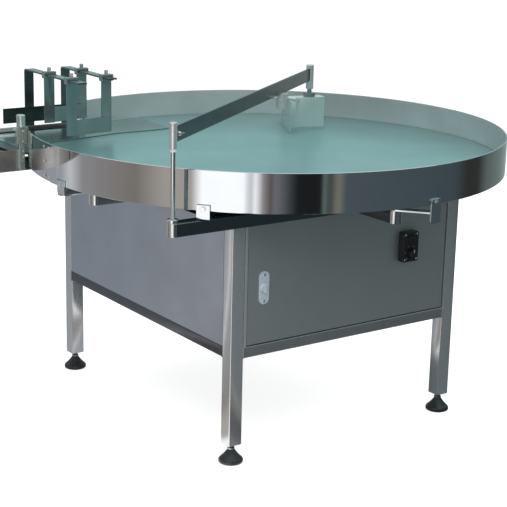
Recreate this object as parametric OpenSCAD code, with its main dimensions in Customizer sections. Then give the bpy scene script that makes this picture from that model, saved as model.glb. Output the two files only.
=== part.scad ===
// Rotary bottle unscrambler: a turning disc in a round guard wall on a square-tube cabinet frame,
// with a height-adjustable sweep arm and an outlet conveyor whose guides hang from two bridges.
// Everything is laid out about the disc's axis, with the floor at zero height.

/* [Turntable] */
// Radius of the turning disc
disc_r = 674; // [600:1:760]
// Thickness of the disc plate
disc_t = 5; // [4:0.5:8]
// Number of ribs welded under the disc
rib_count = 8; // [6:1:12]
// Width of one rib
rib_w = 20; // [12:1:30]
// Depth of one rib below the disc
rib_h = 18; // [10:1:20]
// Radius of the hub flange under the disc
hub_r = 90; // [70:1:110]
// Thickness of the hub flange
hub_t = 12; // [8:1:14]
// Radius of the spindle that carries the hub
spindle_r = 15; // [12:0.5:17]
// Radius of the cap screws that hold the disc to its hub
hub_screw_r = 6; // [4:0.5:8]
// Height of a cap screw's head under the flange
hub_screw_h = 6; // [4:0.5:8]
// Number of cap screws
hub_screw_count = 6; // [4:1:8]

/* [Guard wall] */
// Gap between the disc's edge and the wall
wall_gap = 3; // [2:0.5:6]
// Thickness of the wall sheet
wall_t = 3; // [2:0.5:5]
// Height of the wall sheet
wall_h = 102; // [80:1:140]
// How far the wall reaches below the disc's upper face
wall_drop = 24; // [18:1:28]
// Direction of the wall's far end at the outlet
gap_far_deg = 112; // [108:0.5:116]
// Direction of the wall's near end at the outlet
gap_near_deg = 154; // [152:0.5:156]
// Direction of the cover strip over the wall's joint
joint_strip_deg = 178; // [174:0.1:178]
// Width of that strip
joint_strip_w = 44; // [30:1:45]
// Thickness of that strip and of the end flange
trim_t = 2; // [1.5:0.5:4]
// Width of the flange on the wall's far end
end_flange_w = 18; // [12:1:24]

/* [Frame] */
// Outer size of the leg frame along the door side
frame_w = 764; // [700:1:820]
// Outer size of the leg frame from front to back
frame_d = 904; // [860:1:940]
// Sideways offset of the frame's middle from the disc's axis
frame_mid_x = -28; // [-32:1:-20]
// Front-to-back offset of the frame's middle
frame_mid_y = 15; // [10:1:20]
// Width of a square leg tube
leg_w = 40; // [36:1:50]
// Wall of the square tubes
tube_t = 2; // [1.5:0.5:3]
// Height of the frame's top above the floor
frame_top_z = 640; // [600:1:700]
// Height of the leg tubes' lower ends
leg_low_z = 53; // [48:1:62]
// Height of the lower rails' upper faces
rail_top_z = 319; // [290:1:340]
// Depth of a rail
rail_h = 30; // [25:1:40]
// Width of a support beam
beam_w = 35; // [30:1:40]
// How far the outer beams stand out over the legs
beam_overhang = 13; // [8:1:16]
// How far inside the wall's outer face the support beams end
beam_inset = 80; // [70:1:120]
// Position of the first inner beam behind the axis line
inner_beam_front_y = -40; // [-44:1:-38]
// Position of the second inner beam
inner_beam_rear_y = 102; // [96:1:106]
// Sideways position of the front-to-back beam
cross_beam_x = -16.5; // [-20:0.5:-14]
// How far inside the wall's outer face the front-to-back beam ends
cross_beam_inset = 68; // [60:1:80]

/* [Feet] */
// Radius of a foot pad
foot_r = 33; // [28:1:40]
// Height of a foot pad
foot_h = 38; // [30:1:40]
// Radius of a foot's threaded stem
stem_r = 8; // [6:0.5:10]
// Length of the stem above its pad
stem_len = 62; // [50:1:75]

/* [Cabinet] */
// Thickness of the cabinet sheets
panel_t = 1.5; // [1:0.5:3]
// Depth of the door pan
door_d = 20; // [16:1:24]
// Gap around the door
door_gap = 3; // [2:0.5:5]
// Width of the strip beside the door's free edge
jamb_w = 8; // [6:1:12]
// Width of the strip beside the hinge edge
hinge_jamb_w = 6; // [5:1:8]
// Radius of a door pivot pin
pivot_r = 4; // [3:0.5:5]
// Width of the latch plate
latch_w = 31; // [26:1:40]
// Height of the latch plate
latch_h = 88; // [70:1:100]
// Middle height of the latch plate
latch_z = 471; // [440:1:500]
// Distance of the latch from the door's free edge
latch_inset = 49; // [40:1:60]
// Width of the speed controller
control_w = 54; // [50:1:90]
// Height of the speed controller
control_h = 84; // [80:1:130]
// Depth of the speed controller
control_d = 22; // [20:1:40]
// Middle height of the speed controller
control_z = 521; // [500:1:530]
// Sideways place of the controller's middle
control_x = 164; // [150:1:200]

/* [Drive] */
// Thickness of the bearing plate on the beams
bearing_plate_t = 10; // [8:1:12]
// Height of the bearing housing on that plate
bearing_h = 18; // [16:1:20]
// Radius of the bearing housing
bearing_r = 60; // [50:1:68]
// Running gap between the housing and the hub
hub_gap = 2; // [1:0.5:3]
// Length of the gearbox across the machine
gearbox_w = 190; // [180:1:220]
// Depth of the gearbox from front to back
gearbox_d = 150; // [140:1:170]
// Height of the gearbox
gearbox_h = 110; // [100:1:120]
// Wall of the gearbox casting
gearbox_t = 7; // [6:0.5:9]
// Radius of the worm wheel
wheel_r = 58; // [50:1:60]
// Thickness of the worm wheel
wheel_t = 24; // [18:1:30]
// Number of teeth on the worm wheel
wheel_teeth = 30; // [24:1:40]
// Radius of the worm
worm_r = 17; // [14:0.5:18]
// Radius of the worm's shaft
worm_shaft_r = 9; // [7:0.5:10]
// Radius of the motor body
motor_r = 62; // [55:1:68]
// Length of the motor body
motor_len = 190; // [160:1:200]
// Length of the motor's fan cowl
cowl_len = 46; // [40:1:60]

/* [Sweep arm] */
// Distance from the wall's outer face to the post's axis
post_gap = 47.2; // [44:0.1:49]
// Radius of the post rod
post_r = 6; // [5:0.5:7]
// Height of the arm bar's lower edge above the wall
arm_clear = 69.4; // [60:0.1:90]
// Depth of the arm bar
arm_h = 40; // [30:1:50]
// Thickness of the arm bar
arm_t = 6; // [4:0.5:8]
// Length from the post's axis to the deflector's axis
arm_len = 1176; // [1150:1:1190]
// Direction of the arm
arm_deg = 36.87; // [34:0.01:40]
// Outer radius of the sleeve on the post
near_sleeve_r = 9.5; // [9:0.5:12]
// Outer radius of the sleeve over the deflector
far_sleeve_r = 12; // [10:0.5:14]
// Distance of the cross rod from the post along the arm
cross_rod_at = 884; // [800:1:920]
// Radius of the cross rod
cross_rod_r = 5; // [4:0.5:6]
// Length of the cross rod
cross_rod_len = 134; // [100:1:150]
// Width of the deflector's short wing
deflector_w = 127.7; // [115:0.1:135]
// Thickness of the deflector plate
deflector_t = 2; // [1.5:0.5:3]
// Height of the deflector plate
deflector_h = 94; // [80:1:94]

/* [Outlet conveyor] */
// Gap between the wall's near end and the near side plate
near_side_gap = 1.9; // [1:0.1:4]
// Distance from the wall's far end out to the far side plate's outer face
far_side_gap = 9.5; // [8:0.5:14]
// Distance along the conveyor from the wall's far end to the far side plate's end
side_end_gap = 26.8; // [22:0.1:40]
// Thickness of a side plate
side_t = 3; // [2:0.5:4]
// Depth of a side plate
side_h = 60; // [50:1:64]
// How far the side plates rise above the belt
side_rise = 12; // [8:1:16]
// How far the belt's inner end lies inside the wall's inner radius
belt_inset = 37; // [30:1:41]
// How far the near side plate reaches past the belt
side_overhang = 20; // [10:1:22]
// Length of the conveyor
conv_len = 510; // [440:1:800]
// Thickness of the belt
belt_t = 3; // [2:0.5:4]
// Gap between the belt's edge and a side plate
belt_edge_gap = 8; // [5:1:12]
// Radius of the belt rollers
roller_r = 17; // [15:0.5:18]
// Radius of a roller's shaft ends
roller_shaft_r = 6; // [5:0.5:8]
// Width of a bridge's flat bar
strap_w = 30; // [24:1:34]
// Thickness of a bridge's flat bar
strap_t = 5; // [4:0.5:6]
// Rise of the bridges' bars above the wall
bridge_rise = 109; // [100:1:120]
// Distance between the two bridges along the conveyor
bridge_spacing = 123.5; // [110:0.5:135]
// Width of a hanging strap
hanger_w = 34; // [30:1:38]
// Thickness of a hanging strap and of the guide plates
hanger_t = 3; // [2:0.5:4]
// Height of a hanging guide plate
guide_h = 46; // [36:1:50]
// Height of the near guide above the disc
near_guide_rise = 23; // [18:1:30]
// Height of the middle guide above the disc
middle_guide_rise = 40; // [30:1:46]
// Spacing along the conveyor of the four holes that join it to the next one
joint_spacing_x = 50; // [44:1:60]
// Spacing up the side plate of those holes
joint_spacing_z = 30; // [24:1:34]
// Radius of those holes
joint_hole_r = 4.5; // [3:0.5:5.5]
// Radius of a side guide rod
guide_rod_r = 4; // [3:0.5:6]
// Height of a side rail's box above the disc
rail_rise = 29; // [26:1:40]

/* [Hidden] */
$fn = 96;
cut = 1;
fit_gap = 0.05;
seat_gap = 0.2;
flat_gap = 0.3;

// Heights of the stack that carries the disc
beam_top_z = frame_top_z + beam_w;
bearing_plate_top_z = beam_top_z + bearing_plate_t;
hub_low_z = bearing_plate_top_z + bearing_h + hub_gap;
disc_low_z = hub_low_z + hub_t;
disc_top_z = disc_low_z + disc_t;
wall_low_z = disc_top_z - wall_drop;
wall_top_z = wall_low_z + wall_h;
wall_in_r = disc_r + wall_gap;
wall_out_r = wall_in_r + wall_t;
beam_reach = wall_out_r - beam_inset;
cross_beam_reach = wall_out_r - cross_beam_inset;

// Frame outline
frame_left = frame_mid_x - frame_w / 2;
frame_right = frame_mid_x + frame_w / 2;
frame_front = frame_mid_y - frame_d / 2;
frame_rear = frame_mid_y + frame_d / 2;
leg_xs = [frame_left, frame_right - leg_w];
leg_ys = [frame_front, frame_rear - leg_w];
rail_low_z = rail_top_z - rail_h;
front_beam_y = frame_front - beam_overhang + beam_w / 2;
rear_beam_y = frame_rear + beam_overhang - beam_w / 2;
cap_t = tube_t;

// Ring brackets
bracket_w = beam_w;
bracket_t = 5;
bracket_lap = 16;
bracket_tab_top_z = wall_low_z + bracket_lap;
bracket_bolt_r = 5;
bracket_bolt_h = 4;
tab_in_r = wall_out_r + seat_gap;
tab_out_r = tab_in_r + bracket_t;
bolt_out_r = tab_out_r + bracket_bolt_h;
front_left_deg = 180 + asin((abs(front_beam_y) + beam_w / 2 + bracket_t) / tab_out_r);
side_deg = asin(abs(inner_beam_front_y) / tab_out_r);
strap_skew_share = 58 / 35;
strap_skew = strap_skew_share * bracket_w;
strap_deg = asin((cross_beam_x + strap_skew) / tab_out_r);

// The whole machine is set over the middle of its own outline
x_max = bolt_out_r * cos(side_deg) + bracket_bolt_r * sin(side_deg);
conv_start_x = belt_inset - wall_in_r;
x_min = conv_start_x - conv_len;
shift_x = -(x_max + x_min) / 2;

// Conveyor outline and levels
conv_near_y = wall_out_r * sin(gap_near_deg) + near_side_gap;
conv_far_y = wall_out_r * sin(gap_far_deg) + far_side_gap;
conv_w = conv_far_y - conv_near_y;
far_side_end_x = wall_out_r * cos(gap_far_deg) - side_end_gap;
bridge_two_x = far_side_end_x - strap_w;
bridge_one_x = bridge_two_x - bridge_spacing;
side_top_z = disc_top_z + side_rise;
side_low_z = side_top_z - side_h;
belt_top_z = disc_top_z;
roller_z = belt_top_z - belt_t - flat_gap - roller_r;
roller_inset = roller_r + belt_t + flat_gap + 4 * fit_gap;
tail_x = conv_start_x - roller_inset;
head_x = x_min + roller_inset;
belt_near_y = conv_near_y + side_t + belt_edge_gap;
belt_far_y = conv_far_y - side_t - belt_edge_gap;
guide_far_low_z = side_top_z + side_rise;
bar_low_z = wall_top_z + bridge_rise - strap_t;
bar_top_z = wall_top_z + bridge_rise;

// Sweep arm, whose post stands on the middle of the front beam
post_y = front_beam_y;
post_x = -sqrt(pow(wall_out_r + post_gap, 2) - pow(post_y, 2));
arm_low_z = wall_top_z + arm_clear;
arm_top_z = arm_low_z + arm_h;
collar_h = 7;
collar_wall = 2;
collar_r = post_r + collar_wall;
sleeve_low_z = arm_low_z - 2 * collar_h;
collar_low_z = sleeve_low_z - collar_h;
sleeve_top_z = arm_top_z + 1.5 * collar_h;
deflector_gap = 4;
deflector_low_z = disc_top_z + deflector_gap;
deflector_top_z = deflector_low_z + deflector_h;
far_x = post_x + arm_len * cos(arm_deg);
far_y = post_y + arm_len * sin(arm_deg);
arm_shift = [post_x, post_y, 0];
pivot_flange_r = 18.5;
pivot_flange_h = 13;
pivot_rod_r = 7;

// Door
door_left = frame_left + leg_w + jamb_w + door_gap / 2;
door_right = frame_right - leg_w - hinge_jamb_w;
door_low_z = rail_top_z + door_gap;
door_top_z = frame_top_z - door_gap;
pivot_x = door_right - door_d / 2;
pivot_y = frame_front + door_d / 2;
latch_x = door_left + latch_inset;
knob_r = 13;
knob_h = 14;

// Gearbox and motor
gearbox_top_z = frame_top_z - bearing_plate_t;
gearbox_low_z = gearbox_top_z - gearbox_h;
gearbox_left = -gearbox_w / 2 + worm_r;
wheel_z = (gearbox_top_z + gearbox_low_z) / 2;
worm_x = wheel_r + worm_r + 2 * seat_gap;
motor_flange_t = 10;
motor_near_y = -gearbox_d / 2 - motor_flange_t;
motor_far_y = motor_near_y - motor_len;

module block(lo, hi) {
    translate(lo) cube(hi - lo);
}

module rod(r, lo, len) {
    translate([0, 0, lo]) cylinder(r = r, h = len);
}

module in_place() {
    translate([shift_x, 0, 0]) children();
}

// Square tube along X between two ends
module tube_x(from, to, y, low, w, h) {
    translate([from, y - w / 2, low]) difference() {
        cube([to - from, w, h]);
        translate([-cut, tube_t, tube_t]) cube([to - from + 2 * cut, w - 2 * tube_t, h - 2 * tube_t]);
    }
}

// Square tube along Y between two ends
module tube_y(from, to, x, low, w, h) {
    translate([x - w / 2, from, low]) difference() {
        cube([w, to - from, h]);
        translate([tube_t, -cut, tube_t]) cube([w - 2 * tube_t, to - from + 2 * cut, h - 2 * tube_t]);
    }
}

module in_arm() {
    in_place() translate(arm_shift) rotate([0, 0, arm_deg]) children();
}

// Ring of copies about the disc's axis
module around(count, r) {
    for (i = [0 : count - 1]) rotate([0, 0, 360 * i / count]) translate([r, 0, 0]) children();
}

// Turning body
hub_screw_circle = hub_r - 2 * hub_screw_r;
hub_bite_share = 0.6;
hub_screw_bite = disc_t * hub_bite_share;

module turntable_disc() {
    color("lightcyan") in_place() difference() {
        rod(disc_r, disc_low_z, disc_t);
        around(hub_screw_count, hub_screw_circle)
            rod(hub_screw_r / 2 + fit_gap, disc_low_z - cut, hub_screw_bite + cut);
    }
}

module disc_ribs() {
    color("silver") in_place()
        for (i = [0 : rib_count - 1]) rotate([0, 0, 360 * (i + 1 / 2) / rib_count])
            block([hub_r + seat_gap, -rib_w / 2, disc_low_z - rib_h],
                [disc_r - 2 * rib_w, rib_w / 2, disc_low_z]);
}

module hub_flange() {
    color("gray") in_place() difference() {
        rod(hub_r, hub_low_z, hub_t);
        rod(spindle_r + fit_gap, hub_low_z - cut, hub_t + 2 * cut);
        around(hub_screw_count, hub_screw_circle)
            rod(hub_screw_r / 2 + fit_gap, hub_low_z - cut, hub_t + 2 * cut);
    }
}

module hub_screws() {
    color("silver") in_place() around(hub_screw_count, hub_screw_circle) {
        rod(hub_screw_r, hub_low_z - hub_screw_h, hub_screw_h);
        rod(hub_screw_r / 2, hub_low_z, hub_t + hub_screw_bite);
    }
}

spindle_low_z = gearbox_low_z + gearbox_t / 2;

module spindle() {
    color("silver") in_place() rod(spindle_r, spindle_low_z, disc_low_z - spindle_low_z);
}

wheel_tooth_h = 5;
tooth_root_share = 0.3;
tooth_tip_share = 0.18;
wheel_root_r = wheel_r - wheel_tooth_h;

module worm_wheel() {
    color("goldenrod") in_place() translate([0, 0, wheel_z - wheel_t / 2]) difference() {
        linear_extrude(wheel_t) union() {
            circle(wheel_root_r);
            for (i = [0 : wheel_teeth - 1]) rotate(360 * i / wheel_teeth) polygon([
                [wheel_root_r - cut, -wheel_tooth_h * tooth_root_share * 2],
                [wheel_r, -wheel_tooth_h * tooth_tip_share * 2],
                [wheel_r, wheel_tooth_h * tooth_tip_share * 2],
                [wheel_root_r - cut, wheel_tooth_h * tooth_root_share * 2]]);
        }
        translate([0, 0, -cut]) cylinder(r = spindle_r + fit_gap, h = wheel_t + 2 * cut);
    }
}

// Guard wall with its outlet gap
module gap_wedge(low, high) {
    reach = 2 * wall_out_r;
    translate([0, 0, low]) linear_extrude(high - low) polygon([[0, 0],
        [reach * cos(gap_far_deg), reach * sin(gap_far_deg)],
        [reach * cos(gap_near_deg), reach * sin(gap_near_deg)]]);
}

module guard_wall() {
    color("silver") in_place() difference() {
        rod(wall_out_r, wall_low_z, wall_h);
        rod(wall_in_r, wall_low_z - cut, wall_h + 2 * cut);
        gap_wedge(wall_low_z - 2 * cut, wall_top_z + 2 * cut);
    }
}

module wall_end_flange() {
    color("silver") in_place() rotate([0, 0, gap_far_deg])
        block([wall_in_r, 0, wall_low_z], [wall_in_r + end_flange_w, trim_t, wall_top_z]);
}

module wall_joint_strip() {
    color("silver") in_place() intersection() {
        difference() {
            rod(wall_out_r + trim_t + seat_gap / 2, wall_low_z, wall_h);
            rod(wall_out_r + seat_gap / 2, wall_low_z - cut, wall_h + 2 * cut);
        }
        rotate([0, 0, joint_strip_deg])
            block([wall_in_r - joint_strip_w, 0, wall_low_z - cut],
                [2 * wall_out_r, joint_strip_w, wall_top_z + cut]);
    }
}

// Angle brackets between the beams and the wall
module ring_bracket(deg, leg_len) {
    rotate([0, 0, deg]) union() {
        block([tab_in_r, -bracket_w / 2, beam_top_z], [tab_out_r, bracket_w / 2, bracket_tab_top_z]);
        block([tab_out_r - leg_len, -bracket_w / 2, beam_top_z],
            [tab_in_r + bracket_t / 2, bracket_w / 2, beam_top_z + bracket_t]);
    }
}

module strap_bracket(deg) {
    beam_edge = cross_beam_x + beam_w / 2;
    tab_x = cross_beam_x + strap_skew;
    rotate([0, 0, deg]) union() {
        translate([0, 0, beam_top_z]) linear_extrude(bracket_t) polygon([
            [beam_edge - bracket_w, -cross_beam_reach + 2 * bracket_w],
            [beam_edge, -cross_beam_reach + 2 * bracket_w],
            [beam_edge, -cross_beam_reach],
            [tab_x + bracket_w / 2, -tab_in_r - bracket_t / 2],
            [tab_x - bracket_w / 2, -tab_in_r - bracket_t / 4],
            [beam_edge - bracket_w, -cross_beam_reach]]);
        rotate([0, 0, strap_deg - 90])
            block([tab_in_r, -bracket_w / 2, beam_top_z - bracket_w + 2 * bracket_t],
                [tab_out_r, bracket_w / 2, bracket_tab_top_z]);
    }
}

bracket_degs = [front_left_deg, 180 + side_deg, -side_deg];
bracket_leg_lens = [2 * bracket_w, 4 * bracket_w, 4 * bracket_w];
strap_degs = [0, 180];

module ring_brackets() {
    color("silver") in_place() {
        for (i = [0 : len(bracket_degs) - 1]) ring_bracket(bracket_degs[i], bracket_leg_lens[i]);
        for (deg = strap_degs) strap_bracket(deg);
    }
}

module bracket_bolts() {
    color("white") in_place()
        for (deg = concat(bracket_degs, [for (s = strap_degs) s + strap_deg - 90]))
            rotate([0, 0, deg]) translate([tab_out_r, 0, bracket_tab_top_z - 2 * bracket_bolt_r])
                rotate([0, 90, 0]) cylinder(r = bracket_bolt_r, h = bracket_bolt_h);
}

// Leg frame
module leg_posts() {
    color("gainsboro") in_place() for (x = leg_xs) for (y = leg_ys) difference() {
        block([x, y, leg_low_z], [x + leg_w, y + leg_w, frame_top_z]);
        block([x + tube_t, y + tube_t, leg_low_z - cut],
            [x + leg_w - tube_t, y + leg_w - tube_t, frame_top_z - tube_t]);
    }
}

plug_h = 20;

module leg_plugs() {
    color("dimgray") in_place() for (x = leg_xs) for (y = leg_ys) difference() {
        block([x + tube_t, y + tube_t, leg_low_z],
            [x + leg_w - tube_t, y + leg_w - tube_t, leg_low_z + plug_h]);
        translate([x + leg_w / 2, y + leg_w / 2, 0]) rod(stem_r + fit_gap, leg_low_z - cut, plug_h + 2 * cut);
    }
}

module lower_rails() {
    inset = rail_h / 2;
    color("gainsboro") in_place() {
        for (y = [frame_front + inset, frame_rear - inset])
            tube_x(frame_left + leg_w, frame_right - leg_w, y, rail_low_z, rail_h, rail_h);
        for (x = [frame_left + inset, frame_right - inset])
            tube_y(frame_front + leg_w, frame_rear - leg_w, x, rail_low_z, rail_h, rail_h);
    }
}

module upper_rails() {
    inset = rail_h / 2 + panel_t + seat_gap;
    color("gainsboro") in_place() for (x = [frame_left + inset, frame_right - inset])
        tube_y(frame_front + leg_w, frame_rear - leg_w, x, frame_top_z - rail_h, rail_h, rail_h);
}

cap_reach = beam_reach - beam_w / 2;
cross_spans = [
    [-cross_beam_reach + beam_w / 2, front_beam_y - beam_w / 2],
    [front_beam_y + beam_w / 2, inner_beam_front_y - beam_w / 2],
    [inner_beam_front_y + beam_w / 2, inner_beam_rear_y - beam_w / 2],
    [inner_beam_rear_y + beam_w / 2, rear_beam_y - beam_w / 2],
    [rear_beam_y + beam_w / 2, cross_beam_reach - beam_w / 2]];
outer_cross_spans = [0, 1, 3, 4];

module support_beams() {
    color("gainsboro") in_place() {
        for (y = [front_beam_y, rear_beam_y])
            tube_x(-cap_reach, frame_right - cap_t, y, frame_top_z, beam_w, beam_w);
        tube_x(-cap_reach, cap_reach, inner_beam_front_y, frame_top_z, beam_w, beam_w);
        tube_x(-cap_reach - beam_w / 2, frame_right - cap_t, inner_beam_rear_y, frame_top_z, beam_w, beam_w);
    }
}

module cross_beam() {
    color("gainsboro") in_place() for (i = outer_cross_spans)
        tube_y(cross_spans[i][0], cross_spans[i][1], cross_beam_x, frame_top_z, beam_w, beam_w);
}

// Half-round end of a beam that runs up to a point in a direction
module round_end(x, y, deg) {
    translate([x, y, frame_top_z]) rotate([0, 0, deg]) intersection() {
        rod(beam_w / 2, 0, beam_w);
        translate([0, -beam_w / 2, 0]) cube([beam_w, beam_w, beam_w]);
    }
}

module flat_end(y) {
    translate([frame_right - cap_t, y - beam_w / 2, frame_top_z]) cube([cap_t, beam_w, beam_w]);
}

module beam_caps() {
    color("white") in_place() {
        for (y = [front_beam_y, rear_beam_y, inner_beam_front_y]) round_end(-cap_reach, y, 180);
        round_end(-cap_reach - beam_w / 2, inner_beam_rear_y, 180);
        round_end(cap_reach, inner_beam_front_y, 0);
        round_end(cross_beam_x, beam_w / 2 - cross_beam_reach, -90);
        round_end(cross_beam_x, cross_beam_reach - beam_w / 2, 90);
        for (y = [front_beam_y, rear_beam_y, inner_beam_rear_y]) flat_end(y);
    }
}

// Levelling feet
foot_rim_h_share = 0.3;
foot_neck_r_share = 0.36;

module foot(x, y) {
    rim_h = foot_h * foot_rim_h_share;
    neck_r = foot_r * foot_neck_r_share;
    sweep_r = foot_r - neck_r;
    rise = foot_h - rim_h;
    color("black") in_place() translate([x + leg_w / 2, y + leg_w / 2, 0]) union() {
        rotate_extrude() polygon(concat(
            [[0, 0], [foot_r - rim_h / 2, 0], [foot_r, rim_h / 2], [foot_r, rim_h]],
            [for (a = [15 : 15 : 90]) [foot_r - sweep_r * sin(a), foot_h - rise * cos(a)]],
            [[0, foot_h]]));
        rod(stem_r, foot_h - cut, stem_len + cut);
    }
}

module foot_front_left() { foot(leg_xs[0], leg_ys[0]); }

module foot_front_right() { foot(leg_xs[1], leg_ys[0]); }

module foot_rear_left() { foot(leg_xs[0], leg_ys[1]); }

module foot_rear_right() { foot(leg_xs[1], leg_ys[1]); }

// Cabinet sheets between the legs
module side_sheet(x) {
    block([x, frame_front + leg_w, rail_top_z], [x + panel_t, frame_rear - leg_w, frame_top_z]);
}

module left_panel() {
    color("lightsteelblue") in_place() side_sheet(frame_left);
}

module right_panel() {
    color("lightsteelblue") in_place() side_sheet(frame_right - panel_t);
}

module rear_panel() {
    color("lightsteelblue") in_place() block(
        [frame_left + leg_w, frame_rear - panel_t, rail_top_z],
        [frame_right - leg_w, frame_rear, frame_top_z]);
}

module cabinet_floor() {
    color("silver") in_place() difference() {
        block([frame_left + rail_h + seat_gap, frame_front + rail_h + seat_gap, rail_top_z - panel_t],
            [frame_right - rail_h - seat_gap, frame_rear - rail_h - seat_gap, rail_top_z]);
        for (x = leg_xs) for (y = leg_ys)
            block([x - seat_gap, y - seat_gap, rail_top_z - panel_t - cut],
                [x + leg_w + seat_gap, y + leg_w + seat_gap, rail_top_z + cut]);
    }
}

module door_jambs() {
    color("silver") in_place() {
        block([frame_left + leg_w, frame_front, rail_top_z],
            [frame_left + leg_w + jamb_w, frame_front + panel_t, frame_top_z]);
        block([frame_left + leg_w + jamb_w - panel_t, frame_front + panel_t, rail_top_z],
            [frame_left + leg_w + jamb_w, frame_front + door_d - panel_t, frame_top_z]);
        block([frame_right - leg_w - panel_t, frame_front, rail_top_z],
            [frame_right - leg_w, frame_front + door_d, frame_top_z]);
    }
}

// Door
control_hole_r = 10;

module door_leaf() {
    color("slategray") in_place() difference() {
        block([door_left, frame_front, door_low_z], [door_right, frame_front + door_d, door_top_z]);
        block([door_left + panel_t, frame_front + panel_t, door_low_z + panel_t],
            [door_right - door_d, frame_front + door_d + cut, door_top_z - panel_t]);
        translate([pivot_x, pivot_y, 0])
            rod(pivot_r + fit_gap, door_low_z - cut, door_top_z - door_low_z + 2 * cut);
        translate([latch_x, frame_front - cut, latch_z]) rotate([-90, 0, 0])
            cylinder(r = latch_barrel_r + fit_gap, h = panel_t + 2 * cut);
    }
}

pivot_len = 2 * door_d;

module door_pivots() {
    color("silver") in_place() translate([pivot_x, pivot_y, 0]) {
        rod(pivot_r, rail_top_z, pivot_len);
        rod(pivot_r, frame_top_z - pivot_len, pivot_len);
    }
}

latch_barrel_r = 9;
latch_cam_t = 3;
latch_plate_t = 3;
latch_barrel_len = door_d + latch_cam_t + flat_gap;

module latch_plate() {
    color("gainsboro") in_place() difference() {
        block([latch_x - latch_w / 2, frame_front - latch_plate_t, latch_z - latch_h / 2],
            [latch_x + latch_w / 2, frame_front, latch_z + latch_h / 2]);
        translate([latch_x, frame_front - latch_plate_t - cut, latch_z]) rotate([-90, 0, 0])
            cylinder(r = latch_barrel_r + fit_gap, h = latch_plate_t + 2 * cut);
    }
}

latch_knob_r_share = 0.4;
latch_knob_h = 5;
latch_cam_w = 14;

module latch_handle() {
    knob = latch_w * latch_knob_r_share;
    color("silver") in_place() translate([latch_x, frame_front - latch_plate_t, latch_z]) union() {
        translate([0, -latch_knob_h, 0]) rotate([-90, 0, 0]) cylinder(r = knob, h = latch_knob_h - seat_gap);
        translate([0, -2 * latch_knob_h, 0])
            block([-latch_cam_t / 2, 0, -knob], [latch_cam_t / 2, 2 * latch_knob_h - seat_gap, knob]);
        translate([0, -latch_knob_h, 0]) rotate([-90, 0, 0])
            cylinder(r = latch_barrel_r, h = latch_barrel_len + latch_knob_h + latch_plate_t);
        translate([0, latch_plate_t + latch_barrel_len, 0])
            block([-latch_cam_w / 2, -latch_cam_t, -latch_inset - jamb_w / 2],
                [latch_cam_w / 2, 0, latch_barrel_r]);
    }
}

control_knob_z = control_z - control_h / 5;
control_switch_z = control_z + control_h / 4;
switch_w = 16;
switch_h = 24;
switch_axle_r = 2;
switch_out = 3;
knob_spindle_r = 3;
knob_spindle_len = 10;
control_front = frame_front - control_d;
switch_axle_y = control_front + switch_axle_r + 2 * flat_gap;

module control_box() {
    color("black") in_place() difference() {
        block([control_x - control_w / 2, control_front, control_z - control_h / 2],
            [control_x + control_w / 2, frame_front, control_z + control_h / 2]);
        translate([control_x, control_front - cut, control_knob_z]) rotate([-90, 0, 0])
            cylinder(r = knob_spindle_r + fit_gap, h = knob_spindle_len + cut);
        translate([control_x, control_front, control_switch_z]) block(
            [-switch_w / 2 - flat_gap, -cut, -switch_h / 2 - 2 * flat_gap],
            [switch_w / 2 + flat_gap, switch_w / 2, switch_h / 2 + 2 * flat_gap]);
        translate([control_x - switch_w / 2 - 2 * switch_axle_r, switch_axle_y, control_switch_z])
            rotate([0, 90, 0]) cylinder(r = switch_axle_r + fit_gap, h = switch_w + 4 * switch_axle_r);
    }
}

module speed_knob() {
    color("dimgray") in_place() translate([control_x, control_front, control_knob_z]) union() {
        translate([0, -knob_h, 0]) rotate([-90, 0, 0]) cylinder(r = knob_r, h = knob_h - flat_gap);
        translate([0, -knob_h, 0]) rotate([-90, 0, 0])
            cylinder(r = knob_spindle_r, h = knob_h + knob_spindle_len - flat_gap);
        block([-latch_cam_t / 2, -knob_h - latch_cam_t / 2, 0], [latch_cam_t / 2, -knob_h / 2, knob_r]);
    }
}

module power_switch() {
    color("darkred") in_place() translate([control_x, switch_axle_y, control_switch_z]) union() {
        rotate([0, 90, 0]) translate([0, 0, -switch_w / 2 - 1.5 * switch_axle_r])
            cylinder(r = switch_axle_r, h = switch_w + 3 * switch_axle_r);
        translate([-switch_w / 2, 0, 0]) rotate([90, 0, 90]) linear_extrude(switch_w) polygon([
            [switch_out / 2, -switch_h / 2 + switch_out], [-switch_out, -switch_h / 2 + switch_out],
            [-switch_out, 0], [-2 * switch_out, switch_h / 2 - switch_out],
            [switch_out / 2, switch_h / 2 - switch_out]]);
    }
}

// Bearings and drive
plate_margin = 15;
plate_front = inner_beam_front_y - beam_w / 2;
plate_rear = inner_beam_rear_y + beam_w / 2;
plate_half = gearbox_w / 2 + plate_margin;

module spindle_plate(low) {
    difference() {
        block([-plate_half, plate_front, low], [plate_half, plate_rear, low + bearing_plate_t]);
        rod(spindle_r + seat_gap, low - cut, bearing_plate_t + 2 * cut);
    }
}

module bearing_plate() {
    color("silver") in_place() {
        spindle_plate(beam_top_z);
        spindle_plate(gearbox_top_z);
    }
}

module bearing_housing() {
    color("dimgray") in_place() {
        difference() {
            rod(bearing_r, bearing_plate_top_z, bearing_h);
            rod(spindle_r + fit_gap, bearing_plate_top_z - cut, bearing_h + 2 * cut);
        }
    }
}

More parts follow.
